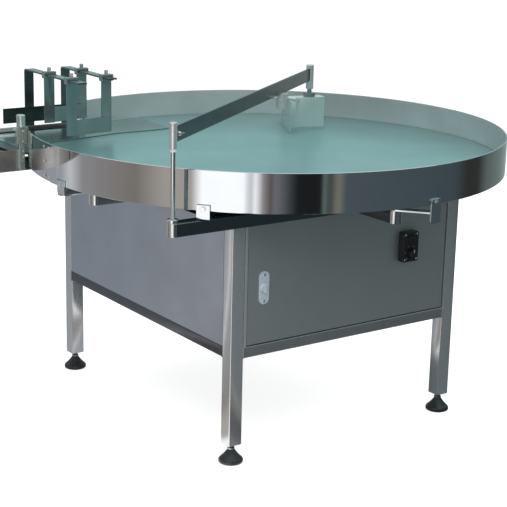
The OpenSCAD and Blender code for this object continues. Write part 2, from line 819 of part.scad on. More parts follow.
module gearbox_case() {
    left = gearbox_left - gearbox_t;
    right = left + gearbox_w;
    half_d = gearbox_d / 2;
    color("steelblue") in_place() difference() {
        block([left, -half_d, gearbox_low_z], [right, half_d, gearbox_top_z]);
        block([left + gearbox_t, -half_d + gearbox_t, gearbox_low_z + gearbox_t],
            [right - gearbox_t, half_d - gearbox_t, gearbox_top_z - gearbox_t]);
        rod(spindle_r + fit_gap, gearbox_low_z + gearbox_t / 2, gearbox_h);
        translate([worm_x, -half_d - cut, wheel_z]) rotate([-90, 0, 0])
            cylinder(r = worm_shaft_r + fit_gap, h = gearbox_d - gearbox_t / 2 + cut);
    }
}

module along_motor(from) {
    translate([worm_x, from, wheel_z]) rotate([90, 0, 0]) children();
}

motor_fin_count = 24;
motor_fin_h = 5;
motor_fin_t = 3;

module motor_body() {
    color("steelblue") in_place() difference() {
        union() {
            along_motor(-gearbox_d / 2) cylinder(r = motor_r - motor_fin_h / 2, h = motor_flange_t);
            along_motor(motor_near_y) linear_extrude(motor_len) union() {
                circle(motor_r - motor_fin_h);
                for (i = [0 : motor_fin_count - 1]) rotate(360 * i / motor_fin_count)
                    translate([0, -motor_fin_t / 2]) square([motor_r, motor_fin_t]);
            }
        }
        along_motor(-gearbox_d / 2 + cut)
            cylinder(r = worm_shaft_r + fit_gap, h = motor_flange_t + motor_len + 2 * cut);
    }
}

cowl_wall = 2;
cowl_gap = 3;

module fan_cowl() {
    color("black") in_place() difference() {
        along_motor(motor_far_y) cylinder(r = motor_r, h = cowl_len);
        along_motor(motor_far_y + cut) cylinder(r = motor_r - cowl_wall, h = cowl_len - cowl_wall + cut);
        for (i = [0 : 3]) along_motor(motor_far_y - cowl_len + 2 * cowl_wall)
            rotate(90 * i) translate([worm_shaft_r, 2 * cowl_wall, 0])
                cube([motor_r - worm_shaft_r - 4 * cowl_wall, 3 * cowl_wall, 4 * cowl_wall]);
    }
}

fan_blade_count = 6;
fan_t = 20;

module worm_shaft() {
    shaft_start = gearbox_d / 2 - gearbox_t / 2;
    fan_back = motor_far_y - cowl_gap;
    worm_half = wheel_t;
    color("silver") in_place() union() {
        along_motor(shaft_start - flat_gap) cylinder(r = worm_shaft_r, h = shaft_start - fan_back + fan_t);
        along_motor(worm_half) cylinder(r = worm_r, h = 2 * worm_half);
        along_motor(fan_back) linear_extrude(fan_t) union() {
            circle(2 * worm_shaft_r);
            for (i = [0 : fan_blade_count - 1]) rotate(360 * i / fan_blade_count)
                translate([0, -cowl_wall / 2]) square([motor_r - cowl_wall - cowl_gap, cowl_wall]);
        }
    }
}

// Sweep arm and deflector
post_foot_r = 15;
post_foot_h = 8;

module post_rod() {
    color("silver") in_place() translate([post_x, post_y, 0]) union() {
        rod(post_r, beam_top_z, sleeve_top_z - 2 * collar_h - beam_top_z);
        rod(post_foot_r, beam_top_z, post_foot_h);
    }
}

module height_collar() {
    color("white") in_place() translate([post_x, post_y, 0]) difference() {
        rod(collar_r, collar_low_z, collar_h - flat_gap / 2);
        rod(post_r + fit_gap, collar_low_z - cut, collar_h + 2 * cut);
    }
}

screw_r = 3;
screw_len = 10;
wing_w = 22;
wing_h = 10;
wing_t = 3;
wing_at = 25;

module sweep_arm() {
    sleeve_h = sleeve_top_z - sleeve_low_z;
    far_low_z = arm_low_z - 4 * arm_t - cut;
    color("darkslategray") in_arm() difference() {
        union() {
            block([near_sleeve_r - tube_t, -arm_t / 2, arm_low_z],
                [arm_len - far_sleeve_r + tube_t, arm_t / 2, arm_top_z]);
            rod(near_sleeve_r, sleeve_low_z, sleeve_h);
            translate([arm_len, 0, 0]) rod(far_sleeve_r, far_low_z, sleeve_top_z - far_low_z);
            translate([cross_rod_at, 0, 0])
                rod(clamp_w / 2, cross_rod_z - clamp_h, arm_low_z + cut - cross_rod_z + clamp_h);
        }
        rod(post_r + fit_gap, sleeve_low_z - cut, sleeve_h - collar_h + cut);
        translate([arm_len, 0, 0]) rod(pivot_rod_r + fit_gap, far_low_z - cut, sleeve_h);
        translate([cross_rod_at, -clamp_w, cross_rod_z]) rotate([-90, 0, 0])
            cylinder(r = cross_rod_r + fit_gap, h = 2 * clamp_w);
        translate([wing_at, -arm_t, (arm_low_z + arm_top_z) / 2]) rotate([-90, 0, 0])
            cylinder(r = screw_r + fit_gap, h = 2 * arm_t);
    }
}

clamp_w = 36;
clamp_h = 30;
cross_rod_z = arm_low_z - clamp_h / 2;

module arm_wing_screw() {
    color("white") in_arm() translate([wing_at, -arm_t / 2 - flat_gap, (arm_low_z + arm_top_z) / 2]) union() {
        rotate([90, 0, 0]) cylinder(r = 2 * screw_r, h = wing_t);
        translate([0, arm_t + screw_len, 0]) rotate([90, 0, 0])
            cylinder(r = screw_r, h = arm_t + screw_len + wing_t);
        block([-wing_w / 2, -wing_t - wing_h, -wing_t / 2], [wing_w / 2, -wing_t / 2, wing_t / 2]);
    }
}

pin_r = 3;
rod_near_share = 0.4;

module cross_rod() {
    near_end = cross_rod_len * rod_near_share;
    color("white") in_arm() translate([cross_rod_at, 0, cross_rod_z]) union() {
        translate([0, -near_end, 0]) rotate([-90, 0, 0]) cylinder(r = cross_rod_r, h = cross_rod_len);
        translate([0, -near_end + 2 * pin_r, -arm_h]) cylinder(r = pin_r, h = arm_h);
    }
}

// Plan of the deflector's two wings about the pivot rod, as shares of the short wing's width
long_wing_shares = [[-0.955, -0.543], [-0.047, 1.077]];
short_wing_shares = [[-0.659, -0.005], [0.323, -0.195]];
pivot_place = [far_x, far_y];

module wall_between(a, b, t, low, high) {
    dx = b[0] - a[0];
    dy = b[1] - a[1];
    translate([a[0], a[1], low]) rotate([0, 0, atan2(dy, dx)])
        translate([0, -t / 2, 0]) cube([norm([dx, dy]), t, high - low]);
}

module deflector() {
    flange_w = 2 * pivot_flange_r;
    long_wing = [for (share = long_wing_shares) pivot_place + deflector_w * share];
    short_wing = [for (share = short_wing_shares) pivot_place + deflector_w * share];
    a = short_wing[0];
    b = short_wing[1];
    color("paleturquoise") in_place() union() {
        wall_between(long_wing[0], long_wing[1], deflector_t, deflector_low_z, deflector_top_z);
        wall_between(a, b, deflector_t, deflector_low_z, deflector_top_z);
        difference() {
            translate([a[0], a[1], deflector_top_z - deflector_t])
                rotate([0, 0, atan2(b[1] - a[1], b[0] - a[0])]) cube([norm(b - a), flange_w, deflector_t]);
            translate([far_x, far_y, 0]) rod(pivot_rod_r / 2 + fit_gap, deflector_low_z, 2 * deflector_h);
        }
    }
}

module pivot_rod() {
    color("gainsboro") in_place() translate([far_x, far_y, 0]) union() {
        rod(pivot_rod_r, deflector_top_z, arm_top_z - collar_h - deflector_top_z);
        rod(pivot_flange_r, deflector_top_z, pivot_flange_h);
        rod(pivot_rod_r / 2, deflector_top_z - 3 * deflector_t, 4 * deflector_t);
    }
}

// Outlet conveyor
module joint_holes(y) {
    for (i = [-1, 1]) for (j = [-1, 1])
        translate([x_min + joint_x + i * joint_spacing_x / 2, y - cut, joint_z + j * joint_spacing_z / 2])
            rotate([-90, 0, 0]) cylinder(r = joint_hole_r, h = side_t + 2 * cut);
}

joint_x = 60;
joint_z = (side_low_z + side_top_z) / 2;

module conveyor_sides() {
    head_tie_x = x_min + 2 * roller_inset;
    tail_tie_x = conv_start_x - 2 * roller_inset - leg_w;
    color("silver") in_place() {
        difference() {
            block([x_min, conv_near_y, side_low_z],
                [conv_start_x + side_overhang, conv_near_y + side_t, side_top_z]);
            joint_holes(conv_near_y);
            for (x = [head_x, tail_x]) translate([x, conv_near_y - cut, roller_z]) rotate([-90, 0, 0])
                cylinder(r = roller_shaft_r + fit_gap, h = side_t + 2 * cut);
        }
        difference() {
            block([x_min, conv_far_y - side_t, side_low_z], [far_side_end_x, conv_far_y, side_top_z]);
            joint_holes(conv_far_y - side_t);
            for (x = [head_x, tail_x]) translate([x, conv_far_y - side_t - cut, roller_z]) rotate([-90, 0, 0])
                cylinder(r = roller_shaft_r + fit_gap, h = side_t + 2 * cut);
        }
        block([head_tie_x, conv_near_y + side_t, beam_top_z],
            [head_tie_x + leg_w, conv_far_y - side_t, beam_top_z + side_t]);
        block([tail_tie_x, conv_near_y + side_t, beam_top_z],
            [-beam_reach + leg_w, conv_far_y - side_t, beam_top_z + side_t]);
        block([-beam_reach - beam_w / 2, rear_beam_y - beam_w / 2, beam_top_z],
            [-beam_reach + leg_w, rear_beam_y + beam_w / 2, slide_low_z]);
    }
}

module slider_bed() {
    bed_t = side_t;
    color("silver") in_place() block(
        [head_x + 2 * roller_r, conv_near_y + side_t, belt_top_z - belt_t - flat_gap - bed_t],
        [tail_x - 2 * roller_r, conv_far_y - side_t, belt_top_z - belt_t - flat_gap]);
}

module belt_loop(r, spare = 0) {
    rotate([-90, 0, 0]) linear_extrude(belt_far_y - belt_near_y + spare) union() {
        translate([0, -r]) square([tail_x - head_x, 2 * r]);
        circle(r);
        translate([tail_x - head_x, 0]) circle(r);
    }
}

module conveyor_belt() {
    inner = roller_r + flat_gap;
    color("darkgreen") in_place() translate([head_x, belt_near_y, roller_z]) difference() {
        belt_loop(inner + belt_t);
        translate([0, -cut, 0]) belt_loop(inner, 2 * cut);
    }
}

module belt_roller(x) {
    color("gray") in_place() translate([x, 0, roller_z]) union() {
        translate([0, belt_near_y - belt_edge_gap / 2, 0]) rotate([-90, 0, 0])
            cylinder(r = roller_r, h = belt_far_y - belt_near_y + belt_edge_gap);
        translate([0, conv_near_y, 0]) rotate([-90, 0, 0]) cylinder(r = roller_shaft_r, h = conv_w);
    }
}

module drive_roller() { belt_roller(head_x); }

module tail_roller() { belt_roller(tail_x); }

slide_t = 6;
slide_rise = 1;
slide_top_z = disc_top_z + slide_rise;
slide_low_z = slide_top_z - slide_t;
slide_far_y = conv_far_y - side_t - 2 * end_flange_w;

module slide_plate() {
    color("darkslategray") in_place() difference() {
        block([conv_start_x + 2 * flat_gap, conv_near_y + 2 * side_t, slide_low_z],
            [bridge_two_x, slide_far_y, slide_top_z]);
        rod(wall_in_r, slide_low_z - cut, slide_t + 2 * cut);
    }
}

// Plan of the transfer plate over the disc, as shares of the disc's radius
transfer_shares = [[-0.067, 0.678], [-0.129, 0.665], [-0.362, 0.671], [-0.731, 0.602], [-0.89, 0.573],
    [-0.89, 0.88], [-0.371, 0.88], [-0.129, 0.94], [-0.067, 0.94]];
transfer_t = 2;

module transfer_plate() {
    color("lightcyan") in_place() translate([0, 0, slide_top_z]) linear_extrude(transfer_t)
        polygon(disc_r * transfer_shares);
}

far_guide_start_x = bridge_one_x - 3 * strap_w;
far_guide_end_x = bridge_two_x + 1.5 * strap_w;

module far_guide() {
    color("black") in_place() block(
        [far_guide_start_x, conv_far_y - side_t, guide_far_low_z],
        [far_guide_end_x, conv_far_y, guide_far_low_z + guide_h]);
}

bridge_xs = [bridge_one_x, bridge_two_x];
bridge_near_ys = [conv_near_y, conv_near_y + 1.5 * strap_w];

module bridges() {
    color("darkslategray") in_place() for (i = [0 : 1]) union() {
        x = bridge_xs[i];
        block([x - strap_w / 2, conv_far_y, side_low_z + strap_t],
            [x + strap_w / 2, conv_far_y + strap_t, bar_top_z]);
        block([x - strap_w / 2, bridge_near_ys[i], bar_low_z],
            [x + strap_w / 2, conv_far_y + strap_t, bar_top_z]);
    }
}

slider_h = 14;
slider_d = 18;

// Slider block on a bridge bar, with the strap that hangs from it
module hanger(x, y, low) {
    difference() {
        block([x - hanger_w / 2 - strap_t / 2, y - slider_d / 2, bar_low_z - slider_h / 2],
            [x + hanger_w / 2 + strap_t / 2, y + slider_d / 2, bar_top_z + slider_h / 2]);
        block([x - strap_w / 2 - seat_gap, y - slider_d, bar_low_z - seat_gap],
            [x + strap_w / 2 + seat_gap, y + slider_d, bar_top_z + seat_gap]);
        translate([x, y, 0]) rod(screw_r + fit_gap, bar_top_z, slider_h);
    }
    block([x - hanger_w / 2, y - hanger_t / 2, low],
        [x + hanger_w / 2, y + hanger_t / 2, bar_low_z - slider_h / 2]);
}

// Places of the two guides' ends across the conveyor, as shares of its width
middle_y_shares = [0.612, 0.697];
near_y_shares = [0.197, 0.247];
middle_ys = [for (share = middle_y_shares) conv_near_y + conv_w * share];
near_ys = [for (share = near_y_shares) conv_near_y + conv_w * share];

module hung_guide(ys, low) {
    a = [bridge_xs[0] - hanger_w / 2, ys[0]];
    b = [bridge_xs[1] + hanger_w / 2, ys[1]];
    union() {
        for (i = [0 : 1]) hanger(bridge_xs[i], ys[i], low);
        wall_between(a, b, hanger_t, low, low + guide_h);
    }
    for (i = [0 : 1]) thumb_screw(bridge_xs[i], ys[i]);
}

module middle_guide() {
    color("darkslategray") in_place() hung_guide(middle_ys, disc_top_z + middle_guide_rise);
}

module near_guide() {
    color("darkslategray") in_place() hung_guide(near_ys, disc_top_z + near_guide_rise);
}

thumb_r = 5;
thumb_h = 12;

module thumb_screw(x, y) {
    translate([x, y, 0]) union() {
        rod(screw_r, bar_top_z + seat_gap, slider_h);
        rod(thumb_r, bar_top_z + slider_h / 2 + seat_gap, thumb_h);
    }
}

rail_post_w = 32;
rail_post_d = 12;
rail_box_h = 48;
rail_bar_h = 11;
rail_knob_r = 12;
rail_knob_h = 34;
rail_box_low_z = disc_top_z + rail_rise;
rail_first_x = -sqrt(pow(wall_out_r, 2) - pow(conv_near_y - rail_post_d, 2)) - rail_post_w / 2 - flat_gap;
rail_xs = [rail_first_x, x_min + 4.5 * rail_post_w];

module near_rail() {
    y = conv_near_y - rail_post_d / 2;
    color("gainsboro") in_place() {
        for (x = rail_xs) union() {
            block([x - rail_post_w / 2, y - rail_post_d / 2, rail_box_low_z],
                [x + rail_post_w / 2, y + rail_post_d / 2, rail_box_low_z + rail_box_h]);
            block([x - rail_post_w / 4, y - rail_post_d / 2, side_low_z + strap_t],
                [x + rail_post_w / 4, y + rail_post_d / 2, rail_box_low_z]);
            translate([x, y, 0]) rod(rail_knob_r, rail_box_low_z + rail_box_h, rail_knob_h);
        }
        block([x_min, y + rail_post_d / 2, rail_box_low_z + rail_box_h - rail_bar_h],
            [rail_first_x + rail_post_w / 4, y + rail_post_d / 2 + side_t, rail_box_low_z + rail_box_h]);
        translate([x_min, conv_near_y + guide_rod_r / 2, rail_box_low_z + rail_box_h / 2]) rotate([0, 90, 0])
            cylinder(r = guide_rod_r, h = rail_first_x + rail_post_w / 4 - x_min);
    }
}

turntable_disc();
disc_ribs();
hub_flange();
hub_screws();
spindle();
worm_wheel();
guard_wall();
wall_end_flange();
wall_joint_strip();
ring_brackets();
bracket_bolts();
leg_posts();
leg_plugs();
lower_rails();
upper_rails();
support_beams();
cross_beam();
beam_caps();
foot_front_left();
foot_front_right();
foot_rear_left();
foot_rear_right();
left_panel();
right_panel();
rear_panel();
cabinet_floor();
door_jambs();
door_leaf();
door_pivots();
latch_plate();
latch_handle();
control_box();
speed_knob();
power_switch();
bearing_plate();
bearing_housing();
gearbox_case();
motor_body();
fan_cowl();
worm_shaft();
post_rod();
height_collar();
sweep_arm();
arm_wing_screw();
cross_rod();
deflector();
pivot_rod();
conveyor_sides();
slider_bed();
conveyor_belt();
drive_roller();
tail_roller();
slide_plate();
transfer_plate();
far_guide();
bridges();
middle_guide();
near_guide();
near_rail();
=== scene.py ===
"""Rotary bottle unscrambler, dressed for a picture.

The machine is a turning disc in a round guard wall, on a square-tube cabinet frame, with a sweep arm and an
outlet conveyor whose guides hang from two bridges. Each class below builds one sub-assembly around the
frame that is loaded here. Lengths are metres, and a name that ends in mm or deg says otherwise.
"""
import logging
import math
from dataclasses import dataclass, replace
from enum import Enum
from functools import cache
from typing import Callable, Iterable, Mapping, Sequence

import bpy
from mathutils import Matrix, Vector


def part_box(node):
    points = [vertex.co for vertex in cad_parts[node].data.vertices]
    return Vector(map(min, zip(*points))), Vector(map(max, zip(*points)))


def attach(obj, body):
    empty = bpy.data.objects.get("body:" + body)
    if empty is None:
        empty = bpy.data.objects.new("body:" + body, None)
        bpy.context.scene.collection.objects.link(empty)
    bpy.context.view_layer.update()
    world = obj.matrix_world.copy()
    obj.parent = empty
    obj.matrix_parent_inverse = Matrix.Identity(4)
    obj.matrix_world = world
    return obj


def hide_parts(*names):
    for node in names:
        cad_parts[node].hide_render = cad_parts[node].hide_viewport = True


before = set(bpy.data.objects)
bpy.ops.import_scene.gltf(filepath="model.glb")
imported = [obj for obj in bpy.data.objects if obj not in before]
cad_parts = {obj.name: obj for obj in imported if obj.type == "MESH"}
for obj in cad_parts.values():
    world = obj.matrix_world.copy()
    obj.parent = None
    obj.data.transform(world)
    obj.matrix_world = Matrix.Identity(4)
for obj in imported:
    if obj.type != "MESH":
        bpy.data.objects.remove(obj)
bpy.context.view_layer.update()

log = logging.getLogger("unscrambler")
MM = 0.001
UP = Vector((0, 0, 1))
ALONG_X = Vector((1, 0, 0))
ALONG_Y = Vector((0, 1, 0))
QUARTER_TURN = [math.radians(deg) for deg in range(0, 91, 15)]
WELD_STEPS = 14         # Ripples of a weld bead on one side of a tube
WELD_RIPPLE = 0.25      # Share by which a bead is thinner between its ripples
TUBE_DEPTH_WALLS = 12   # How far into a tube's open end the scene goes, in wall thicknesses
PointLike = Sequence[float]
Pair = tuple[float, float]
Triple = tuple[float, float, float]
Piece = bpy.types.Object
Tree = bpy.types.NodeTree
Socket = bpy.types.NodeSocket


# Bench work: selecting, starting, shaping and finishing a piece

def clear_selection() -> None:
    """Leaves edit mode and deselects every object, the loaded nodes among them."""
    if bpy.context.object is not None and bpy.context.object.mode != "OBJECT":
        bpy.ops.object.mode_set(mode="OBJECT")
    bpy.ops.object.select_all(action="DESELECT")


def take(piece: Piece) -> Piece:
    """Makes one object the only selected and the active one.

    Args:
        piece: The object to work on.

    Returns:
        The same object.
    """
    clear_selection()
    piece.select_set(True)
    bpy.context.view_layer.objects.active = piece
    return piece


def fix(piece: Piece, name: str, place: Matrix | None = None) -> Piece:
    """Names a piece, moves it to its place and leaves its origin at the frame's.

    Args:
        piece: The object, modelled about the frame's origin.
        name: Its final name.
        place: The matrix that carries it to its place, or None if it is there.

    Returns:
        The same object.
    """
    take(piece)
    if place is not None:
        piece.matrix_world = place @ piece.matrix_world
    bpy.ops.object.transform_apply(location=True, rotation=True, scale=True)
    piece.name = name
    piece.data.name = name
    return piece


def shift(x: float, y: float, z: float) -> Matrix:
    """Gives the place of a piece that is moved and not turned."""
    return Matrix.Translation((x, y, z))


def toward(point: PointLike, axis: PointLike) -> Matrix:
    """Gives the place of a piece that was modelled along +Z.

    Args:
        point: Where its origin goes.
        axis: Where its +Z goes.

    Returns:
        The matrix of that place.
    """
    turn = Vector(axis).to_track_quat("Z", "Y").to_matrix().to_4x4()
    return Matrix.Translation(Vector(point)) @ turn


def block(name: str, low: PointLike, high: PointLike) -> Piece:
    """Starts a piece as a cube between two corners.

    Args:
        name: The piece's name.
        low: Its lowest corner.
        high: Its highest corner.

    Returns:
        The new object.
    """
    a, b = Vector(low), Vector(high)
    clear_selection()
    bpy.ops.mesh.primitive_cube_add(size=1, location=(a + b) / 2, scale=b - a)
    return fix(bpy.context.object, name)


def chain(points: Iterable[PointLike]) -> Piece:
    """Draws a string of edges by extruding one vertex from point to point.

    Args:
        points: The points, in order.

    Returns:
        The new object, left in edit mode with all of it selected.
    """
    corners = [Vector(p) for p in points]
    clear_selection()
    bpy.ops.mesh.primitive_plane_add(size=MM)
    bpy.ops.object.mode_set(mode="EDIT")
    bpy.ops.mesh.select_mode(type="VERT")
    bpy.ops.mesh.select_all(action="SELECT")
    bpy.ops.mesh.merge(type="CENTER")
    bpy.ops.transform.translate(value=corners[0])
    for before, after in zip(corners, corners[1:]):
        bpy.ops.mesh.extrude_vertices_move(TRANSFORM_OT_translate={"value": after - before})
    bpy.ops.mesh.select_all(action="SELECT")
    return bpy.context.object


def close_up(piece: Piece, name: str, place: Matrix | None, angle_deg: float = 35) -> Piece:
    """Merges doubles, turns the faces outwards, shades and places a piece that is in edit mode.

    Args:
        piece: The object in edit mode.
        name: Its final name.
        place: Its place, or None if it is there.
        angle_deg: Edges sharper than this stay sharp.

    Returns:
        The same object.
    """
    bpy.ops.mesh.select_all(action="SELECT")
    bpy.ops.mesh.remove_doubles(threshold=MM / 100)
    bpy.ops.mesh.normals_make_consistent(inside=False)
    bpy.ops.object.mode_set(mode="OBJECT")
    fix(piece, name, place)
    bpy.ops.object.shade_smooth_by_angle(angle=math.radians(angle_deg))
    return piece


def lathe(name: str, profile: Sequence[Pair], place: Matrix | None = None,
          steps: int = 40, sweep_deg: float = 360) -> Piece:
    """Turns a profile about +Z.

    Args:
        name: The piece's name.
        profile: Radius and height of each point, from one end to the other.
        place: The turned piece's place.
        steps: Facets in the whole sweep.
        sweep_deg: How far round the profile goes.

    Returns:
        The new object.
    """
    piece = chain((radius, 0, height) for radius, height in profile)
    bpy.ops.mesh.spin(steps=steps, angle=-math.radians(sweep_deg), center=(0, 0, 0), axis=(0, 0, 1))
    return close_up(piece, name, place)


def plate(name: str, outline: Sequence[PointLike], thick: float, place: Matrix | None = None) -> Piece:
    """Cuts a plate to an outline and gives it its thickness along +Z.

    Args:
        name: The piece's name.
        outline: The corners in the plane of the plate, in order.
        thick: Its thickness.
        place: Its place.

    Returns:
        The new object.
    """
    piece = chain((x, y, 0) for x, y in outline)
    bpy.ops.mesh.edge_face_add()
    bpy.ops.mesh.extrude_region_move(TRANSFORM_OT_translate={"value": (0, 0, thick)})
    return close_up(piece, name, place)


def soften(piece: Piece, radius: float, segments: int = 2, angle_deg: float = 40,
           clamp: bool = True) -> Piece:
    """Rounds the sharp edges of a piece.

    Args:
        piece: The object.
        radius: The edge radius.
        segments: Facets in the round.
        angle_deg: Edges flatter than this are left.
        clamp: Whether a narrow face makes every radius smaller.

    Returns:
        The same object.
    """
    take(piece)
    bevel = piece.modifiers.new("edge_radius", "BEVEL")
    bevel.use_clamp_overlap = clamp
    bevel.width = radius
    bevel.segments = segments
    bevel.limit_method = "ANGLE"
    bevel.angle_limit = math.radians(angle_deg)
    bevel.harden_normals = True
    bpy.ops.object.shade_smooth_by_angle(angle=math.radians(angle_deg))
    bpy.ops.object.modifier_apply(modifier=bevel.name)
    return piece


def pick_faces(piece: Piece, wanted: Callable[[Vector, Vector], bool]) -> None:
    """Enters edit mode with the wanted faces selected.

    Args:
        piece: The object.
        wanted: Says from a face's centre and normal whether it is picked.
    """
    take(piece)
    bpy.ops.object.mode_set(mode="EDIT")
    bpy.ops.mesh.select_mode(type="FACE")
    bpy.ops.mesh.select_all(action="DESELECT")
    bpy.ops.object.mode_set(mode="OBJECT")
    for face in piece.data.polygons:
        face.select = wanted(face.center, face.normal)
    bpy.ops.object.mode_set(mode="EDIT")


def sink(piece: Piece, wanted: Callable[[Vector, Vector], bool], rim: float, depth: Vector) -> None:
    """Leaves a rim round some faces and pushes what is inside it along a vector.

    Args:
        piece: The object.
        wanted: Picks the faces by centre and normal.
        rim: Width of the rim.
        depth: The push.
    """
    pick_faces(piece, wanted)
    bpy.ops.mesh.inset(thickness=rim)
    bpy.ops.mesh.extrude_region_move(TRANSFORM_OT_translate={"value": depth})
    bpy.ops.object.mode_set(mode="OBJECT")


def join(name: str, pieces: Sequence[Piece]) -> Piece:
    """Makes one object of several.

    Args:
        name: The name of the whole.
        pieces: The objects, the first of which stays.

    Returns:
        The whole.
    """
    take(pieces[0])
    for piece in pieces[1:]:
        piece.select_set(True)
    if len(pieces) > 1:
        bpy.ops.object.join()
    return fix(bpy.context.object, name)


def spread(name: str, master: Piece, places: Sequence[Matrix]) -> Piece:
    """Copies a piece that was modelled at the origin to several places, each copy with its own mesh.

    Args:
        name: The name of the group.
        master: The piece, which becomes the first copy.
        places: One matrix for each copy.

    Returns:
        The group as one object.
    """
    group = []
    for place in places[1:]:
        take(master)
        bpy.ops.object.duplicate(linked=False)
        group.append(fix(bpy.context.object, name, place))
    fix(master, name, places[0])
    return join(name, [master] + group)


def pipe(name: str, points: Sequence[PointLike], radius: float, closed: bool = False,
         ripple: float = 0, sides: int = 3) -> Piece:
    """Lays a round bead or rod along points.

    Args:
        name: The piece's name.
        points: The middle line.
        radius: The radius.
        closed: Whether the line comes back to its start.
        ripple: Share by which every other point is thinner, as the ripples of a weld.
        sides: Facets in a quarter of the section.

    Returns:
        The new mesh object.
    """
    line = bpy.data.curves.new(name, "CURVE")
    line.dimensions = "3D"
    line.bevel_depth = radius
    line.bevel_resolution = sides
    line.use_fill_caps = not closed
    spline = line.splines.new("POLY")
    spline.points.add(len(points) - 1)
    for i, (knot, point) in enumerate(zip(spline.points, points)):
        knot.co = (*point, 1)
        knot.radius = 1 - ripple * (i % 2)
    spline.use_cyclic_u = closed
    piece = bpy.data.objects.new(name, line)
    bpy.context.scene.collection.objects.link(piece)
    take(piece)
    bpy.ops.object.convert(target="MESH")
    piece = fix(bpy.context.object, name)
    bpy.ops.object.shade_smooth_by_angle(angle=math.radians(60))
    return piece


def arc(x: float, y: float, radius: float, angles: Iterable[float]) -> list[Pair]:
    """Gives the points of an arc about a centre at angles from the first axis, in radians."""
    return [(x + radius * math.cos(a), y + radius * math.sin(a)) for a in angles]


def rounded(width: float, height: float, radius: float, steps: int = 5) -> list[Pair]:
    """Outlines a rectangle with round corners about the origin.

    Args:
        width: Its width.
        height: Its height.
        radius: Its corner radius.
        steps: Facets in a corner.

    Returns:
        The points, counter-clockwise.
    """
    points = []
    for i, (sx, sy) in enumerate(((1, 1), (-1, 1), (-1, -1), (1, -1))):
        for k in range(steps + 1):
            a = math.pi / 2 * (i + k / steps)
            points.append((sx * (width / 2 - radius) + radius * math.cos(a),
                           sy * (height / 2 - radius) + radius * math.sin(a)))
    return points


def stand(point: PointLike, across: PointLike, upward: PointLike = (0, 0, 1)) -> Matrix:
    """Gives the place of a plate whose X goes across and whose Y goes up.

    Args:
        point: Where its origin goes.
        across: Where its X goes.
        upward: Where its Y goes.

    Returns:
        The matrix of that place, whose Z is across times upward.
    """
    x, y = Vector(across).normalized(), Vector(upward).normalized()
    return Matrix.Translation(Vector(point)) @ Matrix((x, y, x.cross(y))).transposed().to_4x4()


def compass(deg: float) -> Vector:
    """Gives the level unit vector at an angle from +X towards +Y."""
    turn = math.radians(deg)
    return Vector((math.cos(turn), math.sin(turn), 0))


def centre_of(node: str) -> Vector:
    """Gives the middle of a loaded node's box."""
    low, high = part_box(node)
    return (low + high) / 2


def fluted(radius: float, flutes: int, depth: float, steps: int) -> list[Pair]:
    """Outlines a round grip with shallow flutes about the origin.

    Args:
        radius: Radius of the ridges.
        flutes: How many flutes go round.
        depth: Half of a flute's depth, as a share of the radius.
        steps: Points in one flute.

    Returns:
        The points, counter-clockwise.
    """
    points = []
    for k in range(flutes * steps):
        turn = 2 * math.pi * k / (flutes * steps)
        r = radius * (1 - depth + depth * math.cos(flutes * turn))
        points.append((r * math.cos(turn), r * math.sin(turn)))
    return points


def pick_edges(piece: Piece, along: Vector) -> None:
    """Enters edit mode with the edges selected that run along a direction.

    Args:
        piece: The object.
        along: The direction.
    """
    take(piece)
    bpy.ops.object.mode_set(mode="EDIT")
    bpy.ops.mesh.select_mode(type="EDGE")
    bpy.ops.mesh.select_all(action="DESELECT")
    bpy.ops.object.mode_set(mode="OBJECT")
    points = piece.data.vertices
    for edge in piece.data.edges:
        a, b = (points[i].co for i in edge.vertices)
        edge.select = abs((b - a).normalized().dot(along)) > 0.99
    bpy.ops.object.mode_set(mode="EDIT")


def tube(name: str, low: PointLike, high: PointLike, axis: Vector, corner: float,
         ends: Sequence[int] = (1, -1), wall: float = 2 * MM) -> Piece:
    """Makes a square tube with round corners.

    Args:
        name: The piece's name.
        low: Its lowest corner.
        high: Its highest corner.
        axis: The way that it runs.
        corner: Its corner radius.
        ends: Which ends are open, 1 for the one ahead and -1 for the one behind.
        wall: Its wall.

    Returns:
        The new object.
    """
    piece = block(name, low, high)
    pick_edges(piece, axis)
    bpy.ops.mesh.bevel(offset=corner, segments=4, affect="EDGES")
    bpy.ops.object.mode_set(mode="OBJECT")
    for end in ends:
        inward = -axis * end * TUBE_DEPTH_WALLS * wall
        sink(piece, lambda middle, normal: normal.dot(axis) * end > 0.9, wall, inward)
    take(piece)
    bpy.ops.object.shade_smooth_by_angle(angle=math.radians(40))
    return piece


def weld(name: str, low: Vector, high: Vector, axis: Vector, at: float, radius: float) -> Piece:
    """Lays a rippled bead round a square tube where it meets its neighbour.

    Args:
        name: The piece's name.
        low: The tube's lowest corner.
        high: The tube's highest corner.
        axis: The way that the tube runs.
        at: Place of the bead along that axis.
        radius: The bead's radius.

    Returns:
        The new object.
    """
    middle, half = (low + high) / 2, (high - low) / 2
    middle = middle + axis * (at - middle.dot(axis))
    a, b = (side * half.dot(side) for side in (ALONG_X, ALONG_Y, UP) if side != axis)
    corners = [middle + a + b, middle - a + b, middle - a - b, middle + a - b]
    points = [corner.lerp(corners[(i + 1) % 4], k / WELD_STEPS)
              for i, corner in enumerate(corners) for k in range(WELD_STEPS)]
    return pipe(name, points, radius, closed=True, ripple=WELD_RIPPLE, sides=1)


def hex_head(name: str, radius: float, height: float, place: Matrix | None = None) -> Piece:
    """Makes a hexagon head or nut with broken corners.

    Args:
        name: The piece's name.
        radius: Radius of its corners.
        height: Its height.
        place: Its place.

    Returns:
        The new object.
    """
    outline = arc(0, 0, radius, [math.pi * k / 3 for k in range(6)])
    return soften(plate(name, outline, height, place), radius * 0.1, 2)


